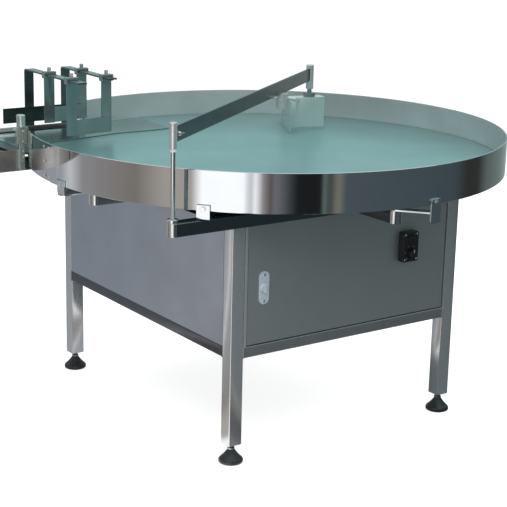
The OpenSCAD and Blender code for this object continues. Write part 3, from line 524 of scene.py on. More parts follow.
def dome(name: str, radius: float, height: float) -> Piece:
    """Makes a low round screw or rivet head about the origin, with a driving socket."""
    socket, sunk = radius * 0.42, height * 0.45
    profile = [(0, sunk), (socket, sunk), (socket, height * 0.93), (socket * 1.15, height)]
    profile += [(radius * math.cos(a), height * math.sin(a)) for a in (1.05, 0.75, 0.4, 0.15)]
    profile += [(radius, 0), (0, 0)]
    return lathe(name, profile, None, 24)


# Finishes

def linear(code: str) -> tuple[float, float, float, float]:
    """Turns an sRGB hex colour into linear red, green, blue and alpha."""
    channels = [int(code[i:i + 2], 16) / 255 for i in (1, 3, 5)]
    return (*[c / 12.92 if c <= 0.04045 else ((c + 0.055) / 1.055) ** 2.4 for c in channels], 1.0)


def add(tree: Tree, kind: str, settings: Mapping[str | int, object],
        links: Mapping[str | int, Socket] | None = None) -> bpy.types.Node:
    """Adds one shader node.

    Args:
        tree: The node tree.
        kind: The node's type name.
        settings: Values by input name or number, or by attribute name.
        links: Sockets to join to the node's inputs.

    Returns:
        The new node.
    """
    node = tree.nodes.new(kind)
    for key, value in settings.items():
        if isinstance(key, int) or key in node.inputs:
            node.inputs[key].default_value = value
        else:
            setattr(node, key, value)
    for key, socket in (links or {}).items():
        tree.links.new(socket, node.inputs[key])
    return node


class Grain(Enum):
    """Which way the fine lines of a surface run, as the pattern's stretch along each axis."""

    CLOUDY = (1.0, 1.0, 1.0)
    ALONG_X = (0.02, 1.0, 1.0)
    ALONG_Y = (1.0, 0.02, 1.0)
    ALONG_Z = (1.0, 1.0, 0.02)
    ROUND_TABLE = (0.0, 0.0, 0.0)


@dataclass(frozen=True)
class Finish:
    """One surface finish."""

    name: str  # What it is in the workshop
    colour: str  # Its colour
    shade: str  # The colour in its darker patches
    metallic: float = 1.0  # 1 for bare metal, 0 for plastic, rubber and paint
    rough: float = 0.2  # Roughness where it is smoothest
    rough_more: float = 0.1  # How much rougher the grain's lines and the cloudy patches are
    grain: Grain = Grain.CLOUDY  # Which way its lines run
    grain_mm: float = 1.0  # Spacing of the lines or of the moulded texture
    grain_lift_mm: float = 0.01  # Height of that relief
    patch_mm: float = 60.0  # Size of the cloudy patches
    wave_mm: float = 0.0  # Length of the sheet's slow waves, 0 for a stiff piece
    wave_lift_mm: float = 0.0  # Height of those waves
    coat: float = 0.0  # Weight of a clear coat
    slot: str = "satin_steel"  # The record's slot for it

    def line_vector(self, tree: Tree, place: Socket) -> Socket:
        """Gives the coordinates in which the finish's lines lie.

        Args:
            tree: The node tree.
            place: The object coordinates.

        Returns:
            The socket with one unit for each line.
        """
        density = 1 / (self.grain_mm * MM)
        if self.grain is not Grain.ROUND_TABLE:
            stretch = Vector(self.grain.value) * density
            return add(tree, "ShaderNodeMapping", {"Scale": stretch}, {"Vector": place}).outputs[0]
        centred = add(tree, "ShaderNodeMapping", {"Location": -TABLE_AXIS, "Scale": (1, 1, 0)},
                      {"Vector": place})
        away = add(tree, "ShaderNodeVectorMath", {"operation": "LENGTH"}, {0: centred.outputs[0]})
        rings = add(tree, "ShaderNodeMath", {"operation": "MULTIPLY", 1: density},
                    {0: away.outputs["Value"]})
        return add(tree, "ShaderNodeCombineXYZ", {}, {"X": rings.outputs[0]}).outputs[0]

    def make(self) -> bpy.types.Material:
        """Builds the material.

        Returns:
            The new material.
        """
        material = bpy.data.materials.new(self.name)
        material.use_nodes = True
        tree = material.node_tree
        tree.nodes.clear()
        place = add(tree, "ShaderNodeTexCoord", {}).outputs["Object"]
        patches = add(tree, "ShaderNodeTexNoise", {"Scale": 1 / (self.patch_mm * MM), "Detail": 3.0},
                      {"Vector": place})
        lines = add(tree, "ShaderNodeTexNoise", {"Scale": 1.0, "Detail": 3.0, "Roughness": 0.6},
                    {"Vector": self.line_vector(tree, place)})
        tones = {"data_type": "RGBA", 6: linear(self.colour), 7: linear(self.shade)}
        tint = add(tree, "ShaderNodeMix", tones, {0: patches.outputs[0]})
        both = add(tree, "ShaderNodeMath", {"operation": "MULTIPLY"},
                   {0: lines.outputs[0], 1: patches.outputs[0]})
        span = {"From Min": 0.1, "From Max": 0.5,
                "To Min": self.rough, "To Max": self.rough + self.rough_more}
        rough = add(tree, "ShaderNodeMapRange", span, {"Value": both.outputs[0]})
        relief = add(tree, "ShaderNodeBump", {"Strength": 1.0, "Distance": self.grain_lift_mm * MM},
                     {"Height": lines.outputs[0]})
        if self.wave_mm:
            waves = add(tree, "ShaderNodeTexNoise", {"Scale": 1 / (self.wave_mm * MM), "Detail": 1.0},
                        {"Vector": place})
            relief = add(tree, "ShaderNodeBump", {"Strength": 1.0, "Distance": self.wave_lift_mm * MM},
                         {"Height": waves.outputs[0], "Normal": relief.outputs[0]})
        shader = add(tree, "ShaderNodeBsdfPrincipled",
                     {"Metallic": self.metallic, "Coat Weight": self.coat},
                     {"Base Color": tint.outputs[2], "Roughness": rough.outputs[0],
                      "Normal": relief.outputs[0]})
        add(tree, "ShaderNodeOutputMaterial", {}, {"Surface": shader.outputs[0]})
        return material


class Stock(Enum):
    """The finishes that the machine is made in."""

    # Mirror-polished stainless sheet: clear reflections, bent a little by the rolled sheet's slow waves
    MIRROR_SHEET = Finish(
        "mirror_polished_stainless_sheet", "#cdcfd0", "#c3c6c8", rough=0.035, rough_more=0.05, grain_mm=3,
        grain_lift_mm=0.002, patch_mm=90, wave_mm=160, wave_lift_mm=0.25, slot="polished_steel")
    # The same sheet's inner side keeps the mill's satin skin
    SATIN_SHEET = Finish(
        "satin_stainless_sheet", "#dcdbda", "#b9babb", metallic=0.72, rough=0.28, rough_more=0.02,
        grain_mm=4, grain_lift_mm=0.002, patch_mm=140)
    # Satin-chromed casting of the latch plate: pale, a little blue
    LATCH_CAST = Finish(
        "satin_chromed_latch", "#cfdbe3", "#c2ced6", metallic=0.3, rough=0.28, rough_more=0.08, grain_mm=2,
        grain_lift_mm=0.004, patch_mm=20, slot="bright_hardware")
    # Bright drawn tube: long faint die lines and a soft sheen
    TUBE_Z = Finish(
        "bright_square_tube_upright", "#d6d7d7", "#c6c8c8", metallic=0.8, rough=0.09, rough_more=0.12,
        grain=Grain.ALONG_Z, grain_mm=3, grain_lift_mm=0.006, patch_mm=70, wave_mm=90, wave_lift_mm=0.1,
        slot="polished_steel")
    # The crosswise rails take a darker copy of the same tube: the darkening is painted shade
    TUBE_X_PAINTED_SHADE = replace(TUBE_Z, name="square_tube_crosswise_painted_shade", colour="#bab9b7", shade="#abaaa8",
                     metallic=0.85, grain=Grain.ALONG_X)
    # The lengthwise rails and the front-to-back beam take a much darker copy of the same tube: painted shade
    TUBE_Y_PAINTED_SHADE = replace(TUBE_Z, name="square_tube_lengthwise_painted_shade", colour="#67696b", shade="#56585a",
                     metallic=1.0, grain=Grain.ALONG_Y)
    # Polished tube of the support beams, darkened as painted shade for the guard wall's shadow on them
    BEAM_TUBE = Finish(
        "beam_tube_painted_shade", "#75787a", "#626567", rough=0.08, rough_more=0.08, grain=Grain.ALONG_X,
        grain_mm=3, grain_lift_mm=0.006, patch_mm=80, slot="polished_steel")
    # Fine ground plate of the turning disc: faint rings from the grinding, cool sheen
    GROUND_DISC = Finish(
        "fine_ground_disc_plate", "#8ab4b5", "#779f9f", metallic=0.75, rough=0.3, rough_more=0.05,
        grain=Grain.ROUND_TABLE, grain_mm=4, grain_lift_mm=0.004, patch_mm=150, slot="disc_steel")
    # Brushed cabinet sheet: upright brush lines under a dull sheen
    CABINET_SHEET = Finish(
        "brushed_cabinet_sheet", "#b3b8be", "#a6abb2", rough=0.28, rough_more=0.16, grain=Grain.ALONG_Z,
        grain_mm=1.6, grain_lift_mm=0.01, patch_mm=120)
    # The door's sheet is brushed sideways and looks darker
    DOOR_SHEET = Finish(
        "brushed_door_sheet", "#adb2b1", "#a0a6a5", metallic=0.72, rough=0.3, rough_more=0.14,
        grain=Grain.ALONG_X, grain_mm=1.6, grain_lift_mm=0.01, patch_mm=150, slot="door_paint")
    # Nickel-plated screws, caps and pins: bright and smooth
    PLATED = Finish(
        "nickel_plated_steel", "#dcdcd8", "#cfd0cd", rough=0.12, rough_more=0.1, grain_mm=2,
        grain_lift_mm=0.004, patch_mm=10, slot="bright_hardware")
    # Turned steel of shafts, rollers and hub
    TURNED = Finish(
        "turned_shaft_steel", "#a6a8a8", "#8f9292", rough=0.25, rough_more=0.15, grain_mm=1.2,
        grain_lift_mm=0.01, patch_mm=30, slot="structural_steel")
    # Cold-drawn flat bar of the hung guides: darker, with a soft polish
    DRAWN_BAR = Finish(
        "cold_drawn_flat_bar", "#9aa8a5", "#7f8c89", metallic=0.85, rough=0.16, rough_more=0.14,
        grain=Grain.ALONG_X, grain_mm=2, grain_lift_mm=0.008, patch_mm=50, slot="arm_steel")
    # Deflector sheet: blue-grey satin
    DEFLECTOR_SHEET = Finish(
        "deflector_sheet", "#c3d3cf", "#b2c4c0", metallic=0.6, rough=0.26, rough_more=0.02,
        grain=Grain.ALONG_Z, grain_mm=2, grain_lift_mm=0.008, patch_mm=60, slot="arm_steel")
    # Black coated iron of the foot pads: fine orange peel
    COATED_IRON = Finish(
        "black_coated_iron", "#1c2022", "#26292b", metallic=0, rough=0.3, rough_more=0.2, grain_mm=1.5,
        grain_lift_mm=0.03, patch_mm=12, coat=0.2, slot="foot_rubber")
    # Black ABS with a fine spark-eroded texture
    BLACK_ABS = Finish(
        "textured_black_abs", "#17181a", "#1f2022", metallic=0, rough=0.42, rough_more=0.15, grain_mm=1.0,
        grain_lift_mm=0.03, patch_mm=25, slot="black_plastic")
    # Dark green low-friction polyethylene of the slide plate
    SLIDE_SHEET = Finish(
        "dark_polyethylene_sheet", "#26302f", "#1f2928", metallic=0, rough=0.28, rough_more=0.2,
        grain=Grain.ALONG_X, grain_mm=3, grain_lift_mm=0.02, patch_mm=60, slot="slide_plastic")
    # Dark red rocker of the power switch
    RED_ROCKER = Finish(
        "dark_red_polycarbonate", "#2c1110", "#230d0c", metallic=0, rough=0.18, rough_more=0.1, grain_mm=2,
        grain_lift_mm=0.005, patch_mm=8, coat=0.4, slot="switch_plastic")
    # Dark polished bar of the sweep arm
    ARM_BAR = Finish(
        "dark_polished_arm_bar", "#5d6867", "#4a5453", rough=0.14, rough_more=0.1, grain=Grain.ALONG_X,
        grain_mm=2, grain_lift_mm=0.006, patch_mm=60, slot="arm_steel")
    # Blue-grey hammer paint on the gearbox and motor castings
    CAST_PAINT = Finish(
        "painted_casting", "#4d6474", "#40535f", metallic=0, rough=0.34, rough_more=0.18, grain_mm=2.5,
        grain_lift_mm=0.12, patch_mm=30, coat=0.25, slot="cast_housing")
    # Cast gear bronze
    GEAR_BRONZE = Finish(
        "cast_gear_bronze", "#b28a4c", "#94703a", rough=0.3, rough_more=0.2, grain_mm=1.5,
        grain_lift_mm=0.03, patch_mm=15, slot="bronze_gear")
    # Half-round end pieces of the beams, the beams' own steel lightened as a painted highlight
    ROUND_END = Finish(
        "beam_end_painted_highlight", "#c4c5c5", "#b6b8b8", rough=0.14, rough_more=0.12, grain=Grain.ALONG_Z,
        grain_mm=2, grain_lift_mm=0.006, patch_mm=20, slot="bright_hardware")
    # Hard-chromed post bar: tight bright highlight
    POST_BAR = Finish(
        "hard_chromed_bar", "#c9cacb", "#bdbfc0", rough=0.08, rough_more=0.08, grain_mm=2,
        grain_lift_mm=0.003, patch_mm=15, slot="bright_hardware")
    # White acetal stop collar
    WHITE_COLLAR = Finish(
        "white_acetal", "#d9d8d4", "#cccac5", metallic=0, rough=0.3, rough_more=0.1, grain_mm=1,
        grain_lift_mm=0.01, patch_mm=10, slot="bright_hardware")
    # Turned steel of the sleeves, clamp drum and rod, lightened as a painted highlight
    TURNED_PAINTED_HIGHLIGHT = Finish(
        "turned_sleeve_painted_highlight", "#d0d3d3", "#bfc2c2", metallic=0.7, rough=0.2, grain=Grain.ALONG_X,
        grain_mm=1.2, grain_lift_mm=0.008, patch_mm=25, slot="arm_steel")
    # The bridges' flat bar lies across the conveyor, in a darker copy of the drawn bar's colour that is
    # painted shade
    DRAWN_BAR_Y_PAINTED_SHADE = replace(DRAWN_BAR, name="bridge_bar_painted_shade", colour="#6b7573", shade="#4d5654",
                          metallic=0.9, grain=Grain.ALONG_Y)
    # Blackened guide bar
    DARK_BAR = replace(DRAWN_BAR, name="blackened_flat_bar", colour="#465250", shade="#333c3a", rough=0.2,
                       patch_mm=40)
    # Brushed side plates of the conveyor, warm grey
    SIDE_SHEET = Finish(
        "brushed_side_plate", "#b3aeab", "#a5a09d", rough=0.24, rough_more=0.14, grain=Grain.ALONG_X,
        grain_mm=1.8, grain_lift_mm=0.01, patch_mm=90)
    # Ground transfer plate over the disc
    TRANSFER_SHEET = Finish(
        "ground_transfer_plate", "#a8c0be", "#9cb5b3", rough=0.24, rough_more=0.03, grain=Grain.ALONG_X,
        grain_mm=2.5, grain_lift_mm=0.006, patch_mm=70, slot="disc_steel")
    # Grey-green side rail with its posts
    RAIL_BAR = Finish(
        "ground_rail_bar", "#bac6c1", "#a7b4af", metallic=0.75, rough=0.2, rough_more=0.14,
        grain=Grain.ALONG_Z, grain_mm=1.6, grain_lift_mm=0.008, patch_mm=40)
    # White printing ink of the numbers and pointer
    WHITE_INK = Finish(
        "white_printing_ink", "#d8d8d6", "#cfcfcd", metallic=0, rough=0.5, rough_more=0.1, grain_mm=1,
        grain_lift_mm=0.01, patch_mm=5, slot="black_plastic")
    # Smooth green belt cover
    BELT_COVER = Finish(
        "green_belt_cover", "#24403a", "#1e3732", metallic=0, rough=0.5, rough_more=0.15, grain_mm=1.2,
        grain_lift_mm=0.04, patch_mm=90, slot="belt_rubber")


@cache
def material_of(stock: Stock) -> bpy.types.Material:
    """Gives the material of a finish, made on first use."""
    return stock.value.make()


DISC_LOW, DISC_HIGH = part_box("turntable_disc")
TABLE_AXIS = Vector(((DISC_LOW.x + DISC_HIGH.x) / 2, 0, 0))


def dress(piece: Piece, stock: Stock) -> Piece:
    """Gives every face of a piece one finish.

    Args:
        piece: A new piece or a loaded node.
        stock: The finish.

    Returns:
        The same object.
    """
    piece.data.materials.clear()
    piece.data.materials.append(material_of(stock))
    return piece


def coat(piece: Piece, wanted: Callable[[Vector, Vector], bool], stock: Stock) -> None:
    """Gives some faces of a dressed piece a second finish.

    Args:
        piece: The object.
        wanted: Picks the faces by centre and normal.
        stock: Their finish.
    """
    piece.data.materials.append(material_of(stock))
    pick_faces(piece, wanted)
    piece.active_material_index = len(piece.data.materials) - 1
    bpy.ops.object.material_slot_assign()
    bpy.ops.object.mode_set(mode="OBJECT")


# Sub-assemblies

@dataclass
class SubAssembly:
    """What every sub-assembly of the machine shares."""

    body: str = "frame"  # The body that its pieces ride on

    # Finish, edge radius and perhaps body of the nodes whose solids have their real shape
    eased = {}

    def settle(self, piece: Piece, stock: Stock, *nodes: str, body: str = "") -> Piece:
        """Dresses a finished piece and hands it to its body.

        Args:
            piece: The finished piece.
            stock: Its finish.
            nodes: The loaded nodes that it stands for.
            body: Its body, where that isn't the sub-assembly's.

        Returns:
            The same object.
        """
        dress(piece, stock)
        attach(piece, body or self.body)
        if nodes:
            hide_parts(*nodes)
        log.info("%s: %d faces", piece.name, len(piece.data.polygons))
        return piece

    def ease(self, node: str, stock: Stock, radius: float, body: str = "") -> Piece:
        """Stands for a node with a copy of it whose edges are broken, as a file leaves them.

        Args:
            node: The loaded node.
            stock: The copy's finish.
            radius: The edge radius.
            body: Its body, where that isn't the sub-assembly's.

        Returns:
            The new object.
        """
        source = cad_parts[node]
        copy = bpy.data.objects.new(f"{node}_eased", source.data.copy())
        bpy.context.scene.collection.objects.link(copy)
        take(copy)
        bpy.ops.object.mode_set(mode="EDIT")
        bpy.ops.mesh.select_all(action="SELECT")
        bpy.ops.mesh.remove_doubles(threshold=MM / 100)
        bpy.ops.mesh.dissolve_limited(angle_limit=math.radians(1))
        bpy.ops.object.mode_set(mode="OBJECT")
        fix(copy, f"{node}_eased")
        soften(copy, radius, clamp=False)
        return self.settle(copy, stock, node, body=body)

    def ease_all(self) -> None:
        """Eases every node in the sub-assembly's table."""
        for node, (stock, radius, *body) in self.eased.items():
            self.ease(node, stock, radius, *body)


@dataclass
class LegFrame(SubAssembly):
    """Four square legs and the rails welded between them."""

    leg: float = 40 * MM  # Width of a leg
    rail: float = 30 * MM  # Width of a rail
    corner: float = 3 * MM  # Corner radius of the tubes
    bead_r: float = 1.3 * MM  # Radius of a weld bead
    plug_edge: float = 0.5 * MM  # Edge radius of the plugs in the legs

    def legs(self) -> None:
        """Stands the four legs, closed at the top and open round their plugs."""
        low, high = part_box("leg_posts")
        leg = self.leg
        posts = [tube("leg", (x, y, low.z), (x + leg, y + leg, high.z), UP, self.corner, ends=(-1,))
                 for x in (low.x, high.x - leg) for y in (low.y, high.y - leg)]
        self.settle(join("leg_tubes", posts), Stock.TUBE_Z, "leg_posts")

    def run(self, low: Vector, high: Vector, axis: Vector) -> list[Piece]:
        """Makes one rail with a weld bead round each end.

        Args:
            low: Its lowest corner.
            high: Its highest corner.
            axis: The way that it runs.

        Returns:
            The rail and its two beads.
        """
        ends = [weld("bead", low, high, axis, corner.dot(axis), self.bead_r) for corner in (low, high)]
        return [tube("rail", low, high, axis, self.corner, ends=())] + ends

    def rails(self) -> None:
        """Lays the lower and the upper rails."""
        low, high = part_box("lower_rails")
        leg, rail = self.leg, self.rail
        crosswise, lengthwise = [], []
        for y in (low.y, high.y - rail):
            crosswise += self.run(Vector((low.x + leg, y, low.z)), Vector((high.x - leg, y + rail, high.z)),
                                  ALONG_X)
        for x in (low.x, high.x - rail):
            lengthwise += self.run(Vector((x, low.y + leg, low.z)),
                                   Vector((x + rail, high.y - leg, high.z)), ALONG_Y)
        self.settle(join("lower_rails_crosswise", crosswise), Stock.TUBE_X_PAINTED_SHADE, "lower_rails")
        self.settle(join("lower_rails_lengthwise", lengthwise), Stock.TUBE_Y_PAINTED_SHADE)
        low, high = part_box("upper_rails")
        upper = []
        for x in (low.x, high.x - rail):
            upper += self.run(Vector((x, low.y, low.z)), Vector((x + rail, high.y, high.z)), ALONG_Y)
        self.settle(join("upper_rails_welded", upper), Stock.TUBE_Y_PAINTED_SHADE, "upper_rails")

    def build(self) -> None:
        """Builds the frame."""
        self.legs()
        self.rails()
        self.ease("leg_plugs", Stock.BLACK_ABS, self.plug_edge)


@dataclass
class SupportBeams(SubAssembly):
    """The square tubes on top of the frame, which end half round."""

    beam: float = 35 * MM  # Width of a beam
    corner: float = 3 * MM  # Corner radius of the tubes
    edge: float = 1.2 * MM  # Edge radius of the round ends
    end_edge: float = 0.6 * MM  # Edge radius of the flat closing plates
    end_t: float = 2 * MM  # Thickness of those plates
    end_steps: int = 16  # Facets in a round end
    bead_r: float = 1.3 * MM  # Radius of the weld beads where beams meet

    def round_end(self, x: float, y: float, z: float, turn_deg: float) -> Piece:
        """Makes the half-round end of a beam that runs up to a point in a direction."""
        half = self.beam / 2
        angles = [math.pi * (k / self.end_steps - 0.5) for k in range(self.end_steps + 1)]
        place = shift(x, y, z) @ Matrix.Rotation(math.radians(turn_deg), 4, "Z")
        return soften(plate("beam_end", arc(0, 0, half, angles), self.beam, place), self.edge, 3)

    def build(self) -> None:
        """Lays the beams and closes their ends."""
        low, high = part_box("support_beams")
        caps_low, caps_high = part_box("beam_caps")
        seat_low, seat_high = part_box("bearing_plate")
        half = self.beam / 2
        front, rear = low.y + half, high.y - half
        inner_front, inner_rear = seat_low.y + half, seat_high.y - half
        left, right = low.x + half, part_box("leg_posts")[1].x - self.end_t
        runs = ((front, left, right), (rear, left, right), (inner_front, left, high.x),
                (inner_rear, low.x, right))
        beams = [tube("beam", (a, y - half, low.z), (b, y + half, high.z), ALONG_X, self.corner, ends=())
                 for y, a, b in runs]
        self.settle(join("outer_and_inner_beams", beams), Stock.BEAM_TUBE, "support_beams")
        cross_x = centre_of("cross_beam").x
        stops = (caps_low.y + half, front - half, front + half, inner_front - half, inner_rear + half,
                 rear - half, rear + half, caps_high.y - half)
        spans = []
        for a, b in zip(stops[::2], stops[1::2]):
            corner_a, corner_b = Vector((cross_x - half, a, low.z)), Vector((cross_x + half, b, high.z))
            spans.append(tube("span", corner_a, corner_b, ALONG_Y, self.corner, ends=()))
            spans += [weld("bead", corner_a, corner_b, ALONG_Y, y, self.bead_r) for y in (a, b)
                      if caps_low.y + self.beam < y < caps_high.y - self.beam]
        self.settle(join("front_to_back_beam", spans), Stock.TUBE_Y_PAINTED_SHADE, "cross_beam")
        ends = [self.round_end(left, y, low.z, 180) for y in (front, rear, inner_front)]
        ends.append(self.round_end(low.x, inner_rear, low.z, 180))
        ends.append(self.round_end(high.x, inner_front, low.z, 0))
        ends.append(self.round_end(cross_x, stops[0], low.z, -90))
        ends.append(self.round_end(cross_x, stops[-1], low.z, 90))
        for y in (front, rear, inner_rear):
            flat = block("flat_end", (right, y - half, low.z), (right + self.end_t, y + half, high.z))
            ends.append(soften(flat, self.end_edge))
        self.settle(join("beam_ends", ends), Stock.ROUND_END, "beam_caps")


@dataclass
class Feet(SubAssembly):
    """Four levelling feet: a bell-shaped pad, a nut and a threaded stem."""

    pad_r: float = 33 * MM  # Radius of the pad
    pad_h: float = 38 * MM  # Height of the pad
    rim_h: float = 11.4 * MM  # Height of its rim
    neck_r: float = 9.5 * MM  # Radius where the bell ends
    stem_r: float = 8 * MM  # Radius of the stem
    stem_top: float = 100 * MM  # Height of the stem's end
    pitch: float = 2.5 * MM  # Pitch of the thread, drawn coarse enough to show
    nut_r: float = 11 * MM  # Corner radius of the nut
    nut_h: float = 5 * MM  # Height of the nut
    hollow: float = 0.2  # How hollow the bell's flank is, from 0 for a straight cone to 1

    def pad(self, place: Matrix, name: str) -> Piece:
        """Turns one bell-shaped pad."""
        sweep, rise, edge = self.pad_r - self.neck_r, self.pad_h - self.rim_h, self.rim_h / 3
        bell = [(0, 0), (self.pad_r - 2 * edge, 0), (self.pad_r - 2 * edge, edge / 2),
                (self.pad_r - edge, edge / 2)]
        bell += [(self.pad_r - edge + edge * math.sin(math.radians(a)),
                  edge / 2 + edge - edge * math.cos(math.radians(a))) for a in range(15, 91, 15)]
        bell.append((self.pad_r, self.rim_h - edge / 2))
        for a in range(6, 91, 6):
            along = a / 90 * (1 - self.hollow)
            inward = along + self.hollow * math.sin(math.radians(a))
            upward = along + self.hollow * (1 - math.cos(math.radians(a)))
            bell.append((self.pad_r - sweep * inward, self.rim_h + rise * upward))
        bell += [(self.neck_r - edge / 2, self.pad_h), (0, self.pad_h)]
        return lathe(name, bell, place, steps=48)

    def stem(self, place: Matrix, name: str) -> Piece:
        """Turns the threaded stem and sets its nut."""
        depth = self.pitch * 0.4
        start = self.pad_h - self.pitch
        threads = int((self.stem_top - start - self.pitch) / self.pitch)
        profile = [(0, start)]
        for k in range(threads):
            z = start + k * self.pitch
            profile += [(self.stem_r - depth, z), (self.stem_r, z + self.pitch / 2)]
        profile += [(self.stem_r - depth, self.stem_top), (0, self.stem_top)]
        rod = lathe("stem", profile, place, steps=24)
        nut = hex_head("nut", self.nut_r, self.nut_h, place @ shift(0, 0, self.pad_h))
        return join(name, [rod, nut])

    def build(self) -> None:
        """Sets a foot under each leg, each on its own body."""
        for node in ("foot_front_left", "foot_front_right", "foot_rear_left", "foot_rear_right"):
            middle = centre_of(node)
            place = shift(middle.x, middle.y, 0)
            self.settle(self.pad(place, f"{node}_pad"), Stock.COATED_IRON, node, body=node)
            self.settle(self.stem(place, f"{node}_stem"), Stock.TURNED, body=node)


@dataclass
class GuardWall(SubAssembly):
    """The round wall of polished sheet, with its end flange and joint strip."""

    gap_near_deg: float = 154  # Direction of the wall's near end at the outlet
    gap_far_deg: float = 112  # Direction of its far end, which the end flange closes
    sweep_deg: float = 318  # How far round the wall goes from the near end
    steps: int = 212  # Facets in that sweep
    sheet_t: float = 3 * MM  # Thickness of the sheet
    edge: float = 1.1 * MM  # Radius of the dressed upper and lower edges
    facing_in: float = 0.3  # How squarely a face looks at the axis to be on the inner side
    ease_r: float = 0.5 * MM  # Edge radius of the flange and the strip
    rivet_r: float = 4 * MM  # Radius of a rivet head
    rivet_degs: tuple[float, ...] = (174.9, 177.4)  # Directions of the two rows of rivets
    rivet_shares: tuple[float, ...] = (0.12, 0.5, 0.88)  # Their places up the strip
    strip_out: float = 2.1 * MM  # How far the strip's face stands off the wall
    screw: Pair = (3.5 * MM, 2 * MM)  # Radius and height of a flange screw's head
    screw_shares: tuple[float, ...] = (0.2, 0.5, 0.8)  # The screws' places up the flange
    screw_out: float = 5.5 * MM  # Distance of the screws from the wall
    flange_t: float = 2 * MM  # Thickness of the flange

    def sheet(self, outer: float) -> None:
        """Rolls the wall to an outer radius, satin on its inner side and polished outside."""
        low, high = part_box("guard_wall")
        inner, edge = outer - self.sheet_t, self.edge
        section = [(inner, low.z + edge), (inner + edge, low.z), (outer - edge, low.z),
                   (outer, low.z + edge), (outer, high.z - edge), (outer - edge, high.z),
                   (inner + edge, high.z), (inner, high.z - edge), (inner, low.z + edge)]
        place = Matrix.Translation(TABLE_AXIS) @ Matrix.Rotation(math.radians(self.gap_near_deg), 4, "Z")
        wall = lathe("guard_wall_sheet", section, None, self.steps, self.sweep_deg)
        take(wall)
        bpy.ops.object.mode_set(mode="EDIT")
        bpy.ops.mesh.select_all(action="SELECT")
        bpy.ops.mesh.fill_holes(sides=0)
        close_up(wall, wall.name, place)
        self.settle(wall, Stock.MIRROR_SHEET, "guard_wall")
        limit = -self.facing_in * inner
        coat(wall, lambda middle, normal: normal.dot(middle - TABLE_AXIS) < limit, Stock.SATIN_SHEET)

    def build(self) -> None:
        """Builds the wall and what is fixed to its ends."""
        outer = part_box("guard_wall")[1].x - TABLE_AXIS.x
        self.sheet(outer)
        self.ease("wall_end_flange", Stock.MIRROR_SHEET, self.ease_r)
        self.ease("wall_joint_strip", Stock.MIRROR_SHEET, self.ease_r)
        low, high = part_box("wall_joint_strip")
        rivets = []
        for out in map(compass, self.rivet_degs):
            for share in self.rivet_shares:
                point = TABLE_AXIS + out * (outer + self.strip_out)
                rivets.append(toward(point + UP * (low.z + (high.z - low.z) * share), out))
        self.settle(spread("joint_strip_rivets", dome("rivet", self.rivet_r, self.rivet_r * 0.45), rivets),
                    Stock.PLATED)
        low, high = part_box("wall_end_flange")
        out, facing = compass(self.gap_far_deg), compass(self.gap_far_deg + 90)
        seat = TABLE_AXIS + out * (outer + self.strip_out + self.screw_out) + facing * self.flange_t
        places = [toward(seat + UP * (low.z + (high.z - low.z) * share), facing)
                  for share in self.screw_shares]
        self.settle(spread("end_flange_screws", dome("screw", *self.screw), places), Stock.PLATED)


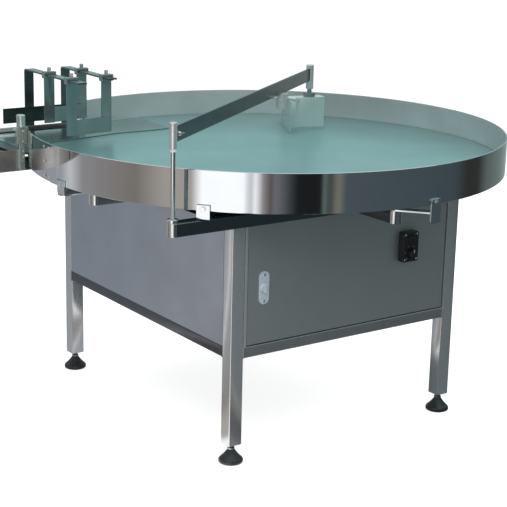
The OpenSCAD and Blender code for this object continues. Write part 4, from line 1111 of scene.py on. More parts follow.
@dataclass
class WallBrackets(SubAssembly):
    """The bent brackets that carry the wall on its beams, with their bolts."""

    width: float = 35 * MM  # Width of a bracket
    thick: float = 5 * MM  # Thickness of its flat bar
    bend_r: float = 8 * MM  # Outer radius of its bend
    edge: float = 0.8 * MM  # Edge radius of the bar
    tab_corner: float = 6 * MM  # Corner radius of the skewed brackets' tabs
    seat: float = 0.2 * MM  # Gap between the wall and a bracket
    lap: float = 16 * MM  # How far a bracket reaches up the wall
    skew: float = 58 * MM  # Sideways step of the two skewed brackets' tabs
    front_widths: float = 2  # Length of the front bracket's leg, in widths
    side_widths: float = 4  # Length of the two side brackets' legs, in widths
    bolt_drop: float = 10 * MM  # Distance of a bolt from the bracket's upper end
    bolt_r: float = 5.6 * MM  # Corner radius of a bolt's head
    bolt_h: float = 3.6 * MM  # Height of a bolt's head with its washer
    washer_r: float = 8 * MM  # Radius of the washer
    washer_t: float = 1.2 * MM  # Thickness of the washer
    washer_edge: float = 0.4 * MM  # Width of its worn edge

    def angle(self, deg: float, leg_len: float, low: float, top: float) -> Piece:
        """Bends one bracket.

        Args:
            deg: Its direction from the table's axis.
            leg_len: Length of the leg on the beam.
            low: Height of the beam's upper face.
            top: Height of the bracket's upper end.

        Returns:
            The new object.
        """
        out = self.tab_out
        bend_x, bend_z, inner_r = out - self.bend_r, low + self.bend_r, self.bend_r - self.thick
        outline = [(out - leg_len, low)]
        outline += arc(bend_x, bend_z, self.bend_r, [-a for a in reversed(QUARTER_TURN)])
        outline += [(out, top), (out - self.thick, top)]
        outline += arc(bend_x, bend_z, inner_r, [-a for a in QUARTER_TURN])
        outline += [(out - leg_len, low + self.thick)]
        across = compass(deg)
        place = stand(TABLE_AXIS - across.cross(UP) * self.width / 2, across)
        return soften(plate("bracket", outline, self.width, place), self.edge)

    def skewed(self, turn_deg: float, low: float, top: float) -> list[Piece]:
        """Makes one skewed bracket: a plate on the beam's end and an upright tab on the wall."""
        cross_x = centre_of("cross_beam").x - TABLE_AXIS.x
        reach = TABLE_AXIS.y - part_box("beam_caps")[0].y
        edge, tab_x, half = cross_x + self.width / 2, cross_x + self.skew, self.width / 2
        inner = self.tab_out - self.thick
        outline = [(edge - self.width, -reach + 2 * self.width), (edge, -reach + 2 * self.width),
                   (edge, -reach), (tab_x + half, -inner - self.thick / 2),
                   (tab_x - half, -inner - self.thick / 4), (edge - self.width, -reach)]
        turned = Matrix.Translation(TABLE_AXIS) @ Matrix.Rotation(math.radians(turn_deg), 4, "Z")
        flat = plate("strap", outline, self.thick, turned @ shift(0, 0, low))
        soften(flat, self.edge)
        aim_deg = math.degrees(math.asin(tab_x / self.tab_out)) - 90 + turn_deg
        bottom = low - self.width + 2 * self.thick
        height = top - bottom
        middle = TABLE_AXIS + compass(aim_deg) * inner + UP * (bottom + height / 2)
        tab = plate("tab", rounded(self.width, height, self.tab_corner), self.thick,
                    stand(middle, compass(aim_deg + 90)))
        return [flat, soften(tab, self.edge)]

    def bolt(self) -> Piece:
        """Makes one hexagon bolt's head on its washer, about the origin."""
        r, t, edge = self.washer_r, self.washer_t, self.washer_edge
        washer = lathe("washer", [(0, 0), (r, 0), (r, t - 0.75 * edge), (r - edge, t), (0, t)])
        head = hex_head("head", self.bolt_r, self.bolt_h - t, shift(0, 0, t))
        return join("bolt", [washer, head])

    def build(self) -> None:
        """Bends the brackets and bolts them to the wall."""
        beam_low, beam_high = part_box("support_beams")
        wall_low, wall_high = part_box("guard_wall")
        self.tab_out = wall_high.x - TABLE_AXIS.x + self.seat + self.thick
        top = wall_low.z + self.lap
        front_deg = 180 + math.degrees(math.asin((abs(beam_low.y) + self.thick) / self.tab_out))
        seat_y = abs(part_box("bearing_plate")[0].y)
        side_deg = math.degrees(math.asin((seat_y - self.width / 2) / self.tab_out))
        angles = ((front_deg, self.front_widths), (180 + side_deg, self.side_widths),
                  (-side_deg, self.side_widths))
        brackets = [self.angle(deg, widths * self.width, beam_high.z, top) for deg, widths in angles]
        for turn_deg in (0, 180):
            brackets += self.skewed(turn_deg, beam_high.z, top)
        self.settle(join("bent_brackets", brackets), Stock.MIRROR_SHEET, "ring_brackets")
        cross_x = centre_of("cross_beam").x - TABLE_AXIS.x
        strap_deg = math.degrees(math.asin((cross_x + self.skew) / self.tab_out)) - 90
        bolts = []
        for out in map(compass, [deg for deg, _ in angles] + [strap_deg, strap_deg + 180]):
            bolts.append(toward(TABLE_AXIS + out * self.tab_out + UP * (top - self.bolt_drop), out))
        self.settle(spread("bracket_bolts_hex", self.bolt(), bolts), Stock.PLATED, "bracket_bolts")


@dataclass
class Turntable(SubAssembly):
    """The turning disc with its ribs, hub and spindle."""

    body: str = "turntable"
    edge: float = 1 * MM  # Edge radius of the disc
    steps: int = 240  # Facets round the disc

    eased = {
        "disc_ribs": (Stock.TURNED, 1.2 * MM),
        "hub_flange": (Stock.TURNED, 1 * MM),
        "hub_screws": (Stock.PLATED, 0.6 * MM),
        "worm_wheel": (Stock.GEAR_BRONZE, 0.4 * MM),
        "spindle": (Stock.TURNED, 1 * MM)}

    def build(self) -> None:
        """Turns the disc and eases what is under it."""
        low, high = DISC_LOW, DISC_HIGH
        radius, edge = high.x - TABLE_AXIS.x, self.edge
        profile = [(0, low.z), (radius - edge, low.z), (radius, low.z + edge), (radius, high.z - edge),
                   (radius - edge * 0.3, high.z - edge * 0.3), (radius - edge, high.z),
                   (radius / 2, high.z), (0, high.z)]
        disc = lathe("turning_disc", profile, Matrix.Translation(TABLE_AXIS), self.steps)
        self.settle(disc, Stock.GROUND_DISC, "turntable_disc")
        self.ease_all()


@dataclass
class Cabinet(SubAssembly):
    """The sheets between the legs, with the louvres and screws of the rear panel."""

    louvre_w: float = 90 * MM  # Width of a louvre
    louvre_h: float = 9 * MM  # Height of a louvre
    louvre_out: float = 5 * MM  # How far a louvre stands out
    louvre_edge: float = 1.2 * MM  # Radius of its pressed edges
    louvre_rows: int = 5  # Louvres in each column
    louvre_rise: float = 2.2  # Distance between the rows, in heights of a louvre
    louvre_column: float = 0.7  # Distance of a column from the panel's middle, in widths of a louvre
    # Radius and height of a panel screw's head, distance from the panel's edges
    screw: Triple = (5 * MM, 2.4 * MM, 14 * MM)
    # Places of the screws across the panel, from -1 to 1
    screw_columns: tuple[float, ...] = (-1, -1 / 3, 1 / 3, 1)

    eased = {
        "left_panel": (Stock.CABINET_SHEET, 0.4 * MM),
        "right_panel": (Stock.CABINET_SHEET, 0.4 * MM),
        "rear_panel": (Stock.CABINET_SHEET, 0.4 * MM),
        "cabinet_floor": (Stock.SATIN_SHEET, 0.4 * MM),
        "door_jambs": (Stock.SATIN_SHEET, 0.4 * MM)}

    def louvre(self) -> Piece:
        """Presses one louvre, open below, about the origin and facing +Z with its slot towards -Y."""
        half, high, out = self.louvre_w / 2, self.louvre_h, self.louvre_out
        hood = [(-high / 2, 0), (-high / 2, out)]
        hood += [(-high / 2 + high * math.sin(a), out * math.cos(a)) for a in QUARTER_TURN[1:]]
        across = Matrix(((0, 0, 1, -half), (1, 0, 0, 0), (0, 1, 0, 0), (0, 0, 0, 1)))
        return soften(plate("louvre", hood, self.louvre_w, across), self.louvre_edge, 2, 30)

    def build(self) -> None:
        """Hangs the sheets and finishes the rear one."""
        self.ease_all()
        low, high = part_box("rear_panel")
        middle = (low + high) / 2
        facing = stand((middle.x, high.y, middle.z), (-1, 0, 0))
        rise, column = self.louvre_rise * self.louvre_h, self.louvre_column * self.louvre_w
        rows = [facing @ shift(side * column, (k - self.louvre_rows / 2) * rise, 0)
                for k in range(self.louvre_rows) for side in (-1, 1)]
        self.settle(spread("rear_louvres", self.louvre(), rows), Stock.CABINET_SHEET)
        r, h, inset = self.screw
        half_w, half_h = (high.x - low.x) / 2 - inset, (high.z - low.z) / 2 - inset
        spots = [facing @ shift(u * half_w, v * half_h, 0)
                 for u in self.screw_columns for v in (-1, 1)]
        self.settle(spread("rear_panel_screws", dome("screw", r, h), spots), Stock.PLATED)


@dataclass
class Door(SubAssembly):
    """The door with its latch and its speed controller."""

    body: str = "door"
    edge: float = 1 * MM  # Edge radius of the door's sheet
    pivot_edge: float = 0.6 * MM  # Edge radius of its pivots
    plate_corner: float = 15 * MM  # Corner radius of the latch plate
    plate_edge: float = 0.7 * MM  # Edge radius of its face
    # Radius and height of a latch screw's head, distance from the plate's ends
    plate_screw: Triple = (4.5 * MM, 2.2 * MM, 9 * MM)
    rose_share: float = 0.4  # Radius of the latch's rose, as a share of the plate's width
    barrel_r: float = 9 * MM  # Radius of the latch's barrel
    cam_w: float = 14 * MM  # Width of the cam behind the door
    cam_t: float = 3 * MM  # Thickness of the cam
    cam_rise: float = 9 * MM  # How far the cam reaches past the barrel's middle
    latch_edge: float = 0.8 * MM  # Edge radius of the latch's grip and cam
    case_corner: float = 5 * MM  # Corner radius of the controller
    case_edge: float = 2 * MM  # Edge radius of its front
    # Radius and height of its screws' heads, distance from its sides
    case_screw: Triple = (3 * MM, 1.4 * MM, 7 * MM)
    bezel: Pair = (20 * MM, 30 * MM)  # Width and height of the rocker's bezel
    bezel_corner: float = 2.5 * MM  # Corner radius of the bezel
    bezel_t: float = 1.2 * MM  # How far the bezel stands out
    bezel_rim: float = 1.8 * MM  # Width of the bezel's rim
    bezel_sunk: float = 1 * MM  # How deep the bezel is sunk inside its rim
    fine_edge: float = 0.3 * MM  # Edge radius of the smallest pieces
    ring_r: float = 16 * MM  # Radius of the ring round the dial
    ring_w: float = 1 * MM  # Width of that ring
    dial_r: float = 20.5 * MM  # Radius of the dial's numbers
    digit_h: float = 4.5 * MM  # Height of those numbers
    digit_t: float = 0.1 * MM  # Thickness of their ink
    digits: int = 6  # How many numbers there are
    dial_start_deg: float = -135  # Direction of the first number, clockwise from the top
    dial_step_deg: float = 54  # Angle between two numbers
    flutes: int = 18  # Flutes round the speed knob
    flute_depth: float = 0.03  # Half of a flute's depth, as a share of the knob's radius
    knob_gap: float = 0.4 * MM  # Gap between the knob and the case
    knob_edge: float = 0.9 * MM  # Edge radius of the knob's grip
    spindle_r: float = 3 * MM  # Radius of the knob's spindle
    mark_w: float = 1.4 * MM  # Width of the knob's pointer
    rocker_edge: float = 0.5 * MM  # Edge radius of the rocker

    def latch(self) -> None:
        """Makes the latch plate, its screws and its turning handle."""
        low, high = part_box("latch_plate")
        middle, size = (low + high) / 2, high - low
        front = stand((middle.x, high.y, middle.z), (1, 0, 0))
        shield = plate("latch_shield", rounded(size.x, size.z, self.plate_corner), size.y, front)
        self.settle(soften(shield, self.plate_edge), Stock.LATCH_CAST, "latch_plate")
        face = stand((middle.x, low.y, middle.z), (1, 0, 0))
        r, h, inset = self.plate_screw
        spots = [face @ shift(0, v * (size.z / 2 - inset), 0) for v in (-1, 1)]
        self.settle(spread("latch_screws", dome("screw", r, h), spots), Stock.PLATED)
        node_low, node_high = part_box("latch_handle")
        reach, r = low.y - node_low.y, self.rose_share * size.x
        rose = lathe("rose", [(0, 0), (r, 0), (r, reach * 0.35), (r * 0.86, reach * 0.5),
                              (r * 0.5, reach * 0.55), (0, reach * 0.55)], face)
        grip = plate("grip", [(x * r, y * r) for x, y in self.grip_outline()], reach * 0.94, face)
        barrel_len = node_high.y - low.y
        barrel = lathe("barrel", [(0, 0), (self.barrel_r, 0), (self.barrel_r, barrel_len), (0, barrel_len)],
                       toward((middle.x, low.y, middle.z), ALONG_Y))
        cam = block("cam", (middle.x - self.cam_w / 2, node_high.y - self.cam_t, node_low.z),
                    (middle.x + self.cam_w / 2, node_high.y, middle.z + self.cam_rise))
        pieces = [rose, soften(grip, self.latch_edge), barrel, soften(cam, self.latch_edge)]
        self.settle(join("latch_turn_handle", pieces), Stock.LATCH_CAST, "latch_handle", body="latch")

    def grip_outline(self) -> list[Pair]:
        """Gives the waisted outline of the latch's grip, as shares of its length."""
        side = [(0.2, 0.9), (0.17, 0.5), (0.13, 0.0), (0.17, -0.5), (0.2, -0.9)]
        other = [(-x, y) for x, y in reversed(side)]
        return [(0.1, 1.0)] + side + [(0.1, -1.0), (-0.1, -1.0)] + other + [(-0.1, 1.0)]

    def controller(self) -> None:
        """Moulds the controller's case with its bezel and dial ring, and fits the rest to it."""
        low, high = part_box("control_box")
        middle, size = (low + high) / 2, high - low
        knob, rocker = centre_of("speed_knob"), centre_of("power_switch")
        knob_at, rocker_at = Vector((knob.x, low.y, knob.z)), Vector((rocker.x, low.y, rocker.z))
        case = plate("case", rounded(size.x, size.z, self.case_corner), size.y,
                     stand((middle.x, high.y, middle.z), (1, 0, 0)))
        soften(case, self.case_edge, 3)
        bezel = plate("bezel", rounded(*self.bezel, self.bezel_corner), self.bezel_t,
                      stand(rocker_at, (1, 0, 0)))
        sink(bezel, lambda middle, normal: normal.y < -0.9, self.bezel_rim, ALONG_Y * self.bezel_sunk)
        soften(bezel, self.fine_edge)
        r, w = self.ring_r, self.ring_w
        ring = lathe("dial_ring", [(r - w, 0), (r, 0), (r, w * 0.6), (r - w * 0.3, w * 0.9),
                                   (r - w * 0.8, w * 0.9), (r - w, w * 0.5), (r - w, 0)],
                     stand(knob_at, (1, 0, 0)))
        self.settle(join("speed_controller_case", [case, bezel, ring]), Stock.BLACK_ABS, "control_box")
        self.numbers(knob_at)
        r, h, inset = self.case_screw
        half_w, half_h = size.x / 2 - inset, size.z / 2 - inset
        spots = [stand((middle.x + u * half_w, low.y, middle.z + v * half_h), (1, 0, 0))
                 for u in (-1, 1) for v in (-1, 1)]
        self.settle(spread("controller_screws", dome("screw", r, h), spots), Stock.PLATED)
        self.knob(knob_at)

    def numbers(self, middle: Vector) -> None:
        """Prints plain even numbers round the dial."""
        digits = []
        for k in range(self.digits):
            turn = math.radians(self.dial_start_deg + self.dial_step_deg * k)
            point = middle + Vector((math.sin(turn), 0, math.cos(turn))) * self.dial_r
            clear_selection()
            bpy.ops.object.text_add()
            text = bpy.context.object.data
            text.body = str(2 * k)
            text.size = self.digit_h
            text.align_x = "CENTER"
            text.align_y = "CENTER"
            text.extrude = self.digit_t
            bpy.ops.object.convert(target="MESH")
            digits.append(fix(bpy.context.object, "digit", stand(point, (1, 0, 0))))
        self.settle(join("dial_numbers", digits), Stock.WHITE_INK)

    def knob(self, middle: Vector) -> None:
        """Moulds the fluted speed knob with its pointer."""
        low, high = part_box("speed_knob")
        radius, depth, inside = (high.x - low.x) / 2, middle.y - low.y, high.y - middle.y
        start = stand(middle, (1, 0, 0)) @ shift(0, 0, self.knob_gap)
        grip = plate("knob", fluted(radius, self.flutes, self.flute_depth, 6), depth * 0.86, start)
        top = lathe("knob_top", [(radius * 0.7, 0), (radius * 0.66, depth * 0.05), (0, depth * 0.05), (0, 0)],
                    start @ shift(0, 0, depth * 0.86))
        shaft = lathe("knob_spindle", [(0, 0), (self.spindle_r, 0), (self.spindle_r, inside), (0, inside)],
                      toward(middle, ALONG_Y))
        whole = join("speed_knob_fluted", [soften(grip, self.knob_edge, 2, 60), top, shaft])
        self.settle(whole, Stock.BLACK_ABS, "speed_knob", body="speed_knob")
        half = self.mark_w / 2
        mark = block("speed_knob_pointer",
                     (middle.x - half, middle.y - depth * 0.95 - self.knob_gap, middle.z + radius * 0.25),
                     (middle.x + half, middle.y - depth * 0.8, middle.z + radius * 0.92))
        self.settle(soften(mark, self.mark_w / 7), Stock.WHITE_INK, body="speed_knob")

    def build(self) -> None:
        """Builds the door and what it carries."""
        self.ease("door_leaf", Stock.DOOR_SHEET, self.edge)
        self.ease("door_pivots", Stock.PLATED, self.pivot_edge, body="frame")
        self.latch()
        self.controller()
        self.ease("power_switch", Stock.RED_ROCKER, self.rocker_edge, body="power_switch")


@dataclass
class SweepArm(SubAssembly):
    """The post, its collar and foot, and the arm with its sleeves, clamp and screws."""

    body: str = "arm"
    arm_deg: float = 36.87  # Direction of the arm
    bar_t: float = 6 * MM  # Thickness of the arm's bar
    bar_h: float = 40 * MM  # Height of the bar
    bar_drop: float = 10.5 * MM  # Drop of the bar's top below the sleeves' tops
    edge: float = 1.2 * MM  # Edge radius of the bar
    rod_r: float = 6 * MM  # Radius of the post
    foot_t: float = 8 * MM  # Thickness of the post's foot
    near_r: float = 9.5 * MM  # Radius of the sleeve on the post
    near_bore: float = 6.1 * MM  # Radius of its bore
    near_drop: float = 14 * MM  # How far it reaches below the bar
    far_r: float = 12 * MM  # Radius of the sleeve over the deflector
    far_bore: float = 7.1 * MM  # Radius of its bore
    far_drop: float = 25 * MM  # How far it reaches below the bar
    clamp_r: float = 18 * MM  # Radius of the clamp drum
    clamp_at: float = 884 * MM  # Distance of the clamp from the post
    wing_at: float = 25 * MM  # Distance of the wing screw from the post
    wing_t: float = 2.6 * MM  # Thickness of its wings
    cross_r: float = 5 * MM  # Radius of the cross rod
    cross_len: float = 134 * MM  # Length of the cross rod
    pin_r: float = 3 * MM  # Radius of the pin that hangs from it
    near_share: float = 0.4  # Share of the cross rod on the clamp's near side
    bead_r: float = 1.2 * MM  # Radius of the weld beads
    bead_step: float = 1.5 * MM  # Height of one ripple of a bead
    bead_ripples: int = 25  # Ripples in a bead
    pivot_edge: float = 0.8 * MM  # Edge radius of the deflector's rod

    def post_axis(self) -> Matrix:
        """Gives the place of the post's axis on the floor."""
        foot = centre_of("post_rod")
        return shift(foot.x, foot.y, 0)

    def along_arm(self) -> Matrix:
        """Gives the place of the post's axis, turned so that +X runs along the arm."""
        return self.post_axis() @ Matrix.Rotation(math.radians(self.arm_deg), 4, "Z")

    def collared(self, name: str, radius: float, low: float, top: float, place: Matrix,
                 bore: float) -> Piece:
        """Turns a sleeve with a groove near each end and a bored mouth below.

        Args:
            name: The sleeve's name.
            radius: Its radius.
            low: Its lower end.
            top: Its upper end.
            place: The place of its axis.
            bore: Radius of its bore.

        Returns:
            The new object.
        """
        chamfer, groove, depth, mouth = 1.2 * MM, 6 * MM, 0.7 * MM, 8 * MM
        profile = [(bore, low + mouth), (bore, low), (radius - chamfer, low), (radius, low + chamfer)]
        for z in (low + groove, top - groove - MM):
            profile += [(radius, z), (radius - depth, z + 0.3 * MM), (radius - depth, z + 0.8 * MM),
                        (radius, z + MM)]
        profile += [(radius, top - chamfer), (radius - chamfer, top), (0, top), (0, top - 2 * MM),
                    (0, low + mouth), (bore, low + mouth)]
        return lathe(name, profile, place, steps=36)

    def post(self) -> None:
        """Turns the post on its foot."""
        low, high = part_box("post_rod")
        foot_r, rod_r, z0, z1 = (high.x - low.x) / 2, self.rod_r, low.z, high.z
        foot_top = z0 + self.foot_t
        profile = [(0, z0), (foot_r - 0.5 * MM, z0), (foot_r, z0 + 0.5 * MM), (foot_r, foot_top - 1.2 * MM),
                   (foot_r - 1.2 * MM, foot_top), (rod_r + 2 * MM, foot_top),
                   (rod_r + 0.6 * MM, foot_top + 0.7 * MM), (rod_r, foot_top + 2 * MM), (rod_r, z1 - MM),
                   (rod_r - MM, z1), (0, z1)]
        post = lathe("post_with_foot", profile, self.post_axis())
        self.settle(post, Stock.POST_BAR, "post_rod", body="frame")

    def collar(self) -> None:
        """Turns the stop collar on the post and sets its screw."""
        low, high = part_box("height_collar")
        middle, ring_r, rod_r, chamfer = (low + high) / 2, (high.x - low.x) / 2, self.rod_r, 0.5 * MM
        ring = lathe("ring", [(rod_r, low.z), (ring_r - chamfer, low.z), (ring_r, low.z + chamfer),
                              (ring_r, high.z - chamfer), (ring_r - chamfer, high.z), (rod_r, high.z),
                              (rod_r, low.z)], self.post_axis())
        foot = centre_of("post_rod")
        screw = dome("set_screw", 2 * MM, 0.8 * MM)
        fix(screw, "set_screw", toward((foot.x, foot.y - ring_r, middle.z), -ALONG_Y))
        ring = join("stop_collar", [ring, screw])
        self.settle(ring, Stock.WHITE_COLLAR, "height_collar", body="height_collar")

    def arm(self) -> None:
        """Builds the bar, its two sleeves and the clamp drum."""
        low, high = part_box("sweep_arm")
        turned = self.along_arm()
        pivot, foot = centre_of("pivot_rod"), turned.to_translation()
        reach = math.hypot(pivot.x - foot.x, pivot.y - foot.y)
        top, half = high.z - self.bar_drop, self.bar_t / 2
        bottom = top - self.bar_h
        bar = block("bar", (self.near_r - 2 * MM, -half, bottom), (reach - self.far_r + 2 * MM, half, top))
        soften(bar, self.edge, 3)
        near = self.collared("near_sleeve", self.near_r, bottom - self.near_drop, high.z,
                             Matrix.Identity(4), self.near_bore)
        far = self.collared("far_sleeve", self.far_r, bottom - self.far_drop, high.z,
                            shift(reach, 0, 0), self.far_bore)
        r, drum_low, drum_top = self.clamp_r, low.z, bottom + MM
        drum = lathe("drum", [(0, drum_low), (r - 1.5 * MM, drum_low), (r, drum_low + 1.5 * MM),
                              (r, drum_top - 8 * MM), (r - MM, drum_top - 7.5 * MM),
                              (r - MM, drum_top - 6.5 * MM), (r, drum_top - 6 * MM), (r, drum_top - MM),
                              (r - MM, drum_top), (0, drum_top)],
                     shift(self.clamp_at, 0, 0), steps=48)
        beads = []
        for x in (self.near_r + 0.5 * MM, reach - self.far_r - 0.5 * MM):
            for y in (-half, half):
                line = [(x, y, bottom + 2 * MM + k * self.bead_step) for k in range(self.bead_ripples)]
                beads.append(pipe("bead", line, self.bead_r, ripple=WELD_RIPPLE, sides=1))
        self.settle(fix(join("arm_bar", [bar] + beads), "arm_bar", turned), Stock.ARM_BAR, "sweep_arm")
        self.settle(fix(join("arm_sleeves", [near, far, drum]), "arm_sleeves", turned), Stock.TURNED_PAINTED_HIGHLIGHT)

    def wing_screw(self) -> None:
        """Makes the wing screw that holds the arm on its post."""
        head = lathe("hub", [(0, 0), (6 * MM, 0), (6 * MM, 2 * MM), (4.5 * MM, 7 * MM), (0, 8 * MM)])
        shaft = lathe("shaft", [(0, -16 * MM), (2.6 * MM, -16 * MM), (3 * MM, -15 * MM), (3 * MM, 0), (0, 0)])
        line = [(2, 1), (5, 2.5), (9, 7), (10.8, 10), (11, 12.4), (9.6, 13), (7, 11.4), (3.5, 7), (0, 5.5)]
        outline = [(x * MM, y * MM) for x, y in line + [(-x, y) for x, y in reversed(line[:-1])]]
        wings = plate("wings", outline, self.wing_t, stand((0, self.wing_t / 2, 0), (1, 0, 0)))
        screw = join("wing_screw", [head, shaft, soften(wings, 0.9 * MM, 3)])
        z = centre_of("arm_wing_screw").z
        place = self.along_arm() @ toward((self.wing_at, -self.bar_t / 2 - 0.3 * MM, z), -ALONG_Y)
        fix(screw, "arm_wing_screw_forged", place)
        self.settle(screw, Stock.PLATED, "arm_wing_screw", body="arm_screw")

    def cross(self) -> None:
        """Makes the cross rod with its hanging pin."""
        low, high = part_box("cross_rod")
        r, pin_r, length = self.cross_r, self.pin_r, self.cross_len
        z, start = high.z - r, -length * self.near_share
        rod = lathe("rod", [(0, 0), (r - MM, 0), (r, MM), (r, length - MM), (r - MM, length), (0, length)],
                    toward((self.clamp_at, start, z), ALONG_Y))
        hung = shift(self.clamp_at, start + 2 * pin_r, 0)
        chamfer = 0.8 * MM
        pin_line = [(0, low.z), (pin_r - chamfer, low.z), (pin_r, low.z + chamfer), (pin_r, z), (0, z)]
        pin = lathe("pin", pin_line, hung, steps=20)
        ferrule = lathe("ferrule", [(0, z - 9 * MM), (5 * MM, z - 9 * MM), (6 * MM, z - 8 * MM),
                                    (6 * MM, z + 5 * MM), (4.5 * MM, z + 6.4 * MM), (0, z + 6.4 * MM)],
                        hung, steps=28)
        rod = fix(join("cross_rod_turned", [rod, pin, ferrule]), "cross_rod_turned", self.along_arm())
        self.settle(rod, Stock.TURNED_PAINTED_HIGHLIGHT, "cross_rod", body="cross_rod")

    def build(self) -> None:
        """Builds the post and the arm on it."""
        self.post()
        self.collar()
        self.arm()
        self.wing_screw()
        self.cross()
        self.ease("pivot_rod", Stock.TURNED, self.pivot_edge)


@dataclass
class Deflector(SubAssembly):
    """The bent deflector sheet under the arm's far end."""

    body: str = "deflector"
    edge: float = 0.5 * MM  # Edge radius of the sheet
    flange_t: float = 2.4 * MM  # Thickness of its clamping flange
    nut_r: float = 7 * MM  # Corner radius of the nut under the flange
    nut_h: float = 5 * MM  # Height of that nut

    def build(self) -> None:
        """Eases the sheet and bolts its flange to the pivot."""
        self.ease("deflector", Stock.DEFLECTOR_SHEET, self.edge)
        middle, top = centre_of("pivot_rod"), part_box("deflector")[1].z
        place = shift(middle.x, middle.y, top - self.flange_t - self.nut_h)
        self.settle(fix(hex_head("nut", self.nut_r, self.nut_h, place), "deflector_nut"), Stock.PLATED)


@dataclass
class Conveyor(SubAssembly):
    """The outlet conveyor with its bridges, hung guides and side rail."""

    knurls: int = 20  # Ridges round a thumb screw
    knurl_depth: float = 0.04  # Half of a ridge's depth, as a share of the head's radius
    thumb_r: float = 5.7 * MM  # Radius of a thumb screw's head
    thumb_h: float = 8 * MM  # Height of its knurled part
    thumb_up: float = 7.2 * MM  # Height of its foot over the bridge's top
    # Places of each guide's two thumb screws across the conveyor
    thumb_shares = {"middle_guide": (0.612, 0.697), "near_guide": (0.197, 0.247)}
    bolt_r: float = 5.5 * MM  # Corner radius of a bolt's head
    bolt_h: float = 3.6 * MM  # Height of that head
    bolt_gap: float = 13 * MM  # Distance of a foot's bolts from its middle
    strap_w: float = 30 * MM  # Width of a bridge's bar
    strap_t: float = 5 * MM  # Thickness of that bar
    strap_edge: float = 0.8 * MM  # Edge radius of that bar
    bend_r: float = 9 * MM  # Outer radius of its bend
    near_lead: float = 1.5  # How much shorter the second bridge is, in widths of the bar
    knob_r: float = 12.3 * MM  # Radius of the side rail's knobs
    knob_from_end: float = 16 * MM  # Distance of the first knob from the rail's end at the disc
    knob_from_start: float = 144 * MM  # Distance of the second knob from the rail's other end
    knob_out: float = 6 * MM  # Distance of the knobs from the side plate
    screw: Pair = (3 * MM, 1.6 * MM)  # Radius and height of a rail screw's head
    # Drops of the rail screws from the knobs' tops
    screw_drops: tuple[float, ...] = (44 * MM, 72 * MM, 100 * MM, 116 * MM)

    eased = {
        "conveyor_sides": (Stock.SIDE_SHEET, 0.6 * MM),
        "slider_bed": (Stock.SATIN_SHEET, 0.4 * MM),
        "conveyor_belt": (Stock.BELT_COVER, 0.6 * MM),
        "slide_plate": (Stock.SLIDE_SHEET, 1 * MM),
        "transfer_plate": (Stock.TRANSFER_SHEET, 0.5 * MM),
        "far_guide": (Stock.DARK_BAR, 0.8 * MM),
        "near_rail": (Stock.RAIL_BAR, 1 * MM),
        "drive_roller": (Stock.TURNED, 0.8 * MM, "drive_roller"),
        "tail_roller": (Stock.TURNED, 0.8 * MM, "tail_roller"),
        "middle_guide": (Stock.DRAWN_BAR, 0.7 * MM, "middle_guide"),
        "near_guide": (Stock.DRAWN_BAR, 0.7 * MM, "near_guide")}

    def thumb_screw(self) -> Piece:
        """Turns and knurls the head of one thumb screw about the origin."""
        r = self.thumb_r
        outline = fluted(r, self.knurls, self.knurl_depth, 4)
        grip = plate("grip", outline, self.thumb_h, shift(0, 0, 3 * MM))
        soften(grip, 0.4 * MM, 1, 60)
        cap = lathe("cap", [(0, 10.6 * MM), (r * 0.86, 10.6 * MM), (r * 0.86, 11.8 * MM),
                            (r * 0.7, 12.3 * MM), (0, 12.5 * MM)], None, 24)
        neck = lathe("neck", [(0, -0.1 * MM), (r * 1.15, -0.1 * MM), (r * 1.15, 0.9 * MM),
                              (r * 0.8, 1.4 * MM), (r * 0.8, 3.2 * MM), (0, 3.2 * MM)], None, 24)
        return join("thumb", [grip, cap, neck])

    def screws(self) -> None:
        """Sets the thumb screws on both guides' slider blocks."""
        low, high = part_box("bridges")
        xs = (low.x + self.strap_w / 2, high.x - self.strap_w / 2)
        near_y, far_y = (corner.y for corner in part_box("conveyor_sides"))
        for body, shares in self.thumb_shares.items():
            places = [shift(x, near_y + (far_y - near_y) * share, high.z + self.thumb_up)
                      for x, share in zip(xs, shares)]
            self.settle(spread(f"{body}_thumb_screws", self.thumb_screw(), places), Stock.PLATED, body=body)

    def bridges(self) -> None:
        """Bends each bridge from one flat bar and bolts its foot to the side plate."""
        low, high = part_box("bridges")
        sides_low, sides_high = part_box("conveyor_sides")
        t, bend, inner = self.strap_t, self.bend_r, self.bend_r - self.strap_t
        xs = (low.x, high.x - self.strap_w)
        y, z = high.y - bend, high.z - bend
        bars = []
        for x, near_y in zip(xs, (sides_low.y, sides_low.y + self.near_lead * self.strap_w)):
            outline = [(high.y, low.z)]
            outline += arc(y, z, bend, QUARTER_TURN)
            outline += [(near_y, high.z), (near_y, high.z - t)]
            outline += arc(y, z, inner, reversed(QUARTER_TURN))
            outline += [(high.y - t, low.z)]
            bar = plate("bridge", outline, self.strap_w, stand((x, 0, 0), (0, 1, 0)))
            bars.append(soften(bar, self.strap_edge))
        self.settle(join("bent_bridges", bars), Stock.DRAWN_BAR_Y_PAINTED_SHADE, "bridges")
        foot_z = (low.z + sides_high.z) / 2
        places = [toward((x + self.strap_w / 2, high.y, foot_z + step * self.bolt_gap), ALONG_Y)
                  for x in xs for step in (-1, 1)]
        self.settle(spread("bridge_bolts", hex_head("head", self.bolt_r, self.bolt_h), places),
                    Stock.PLATED)

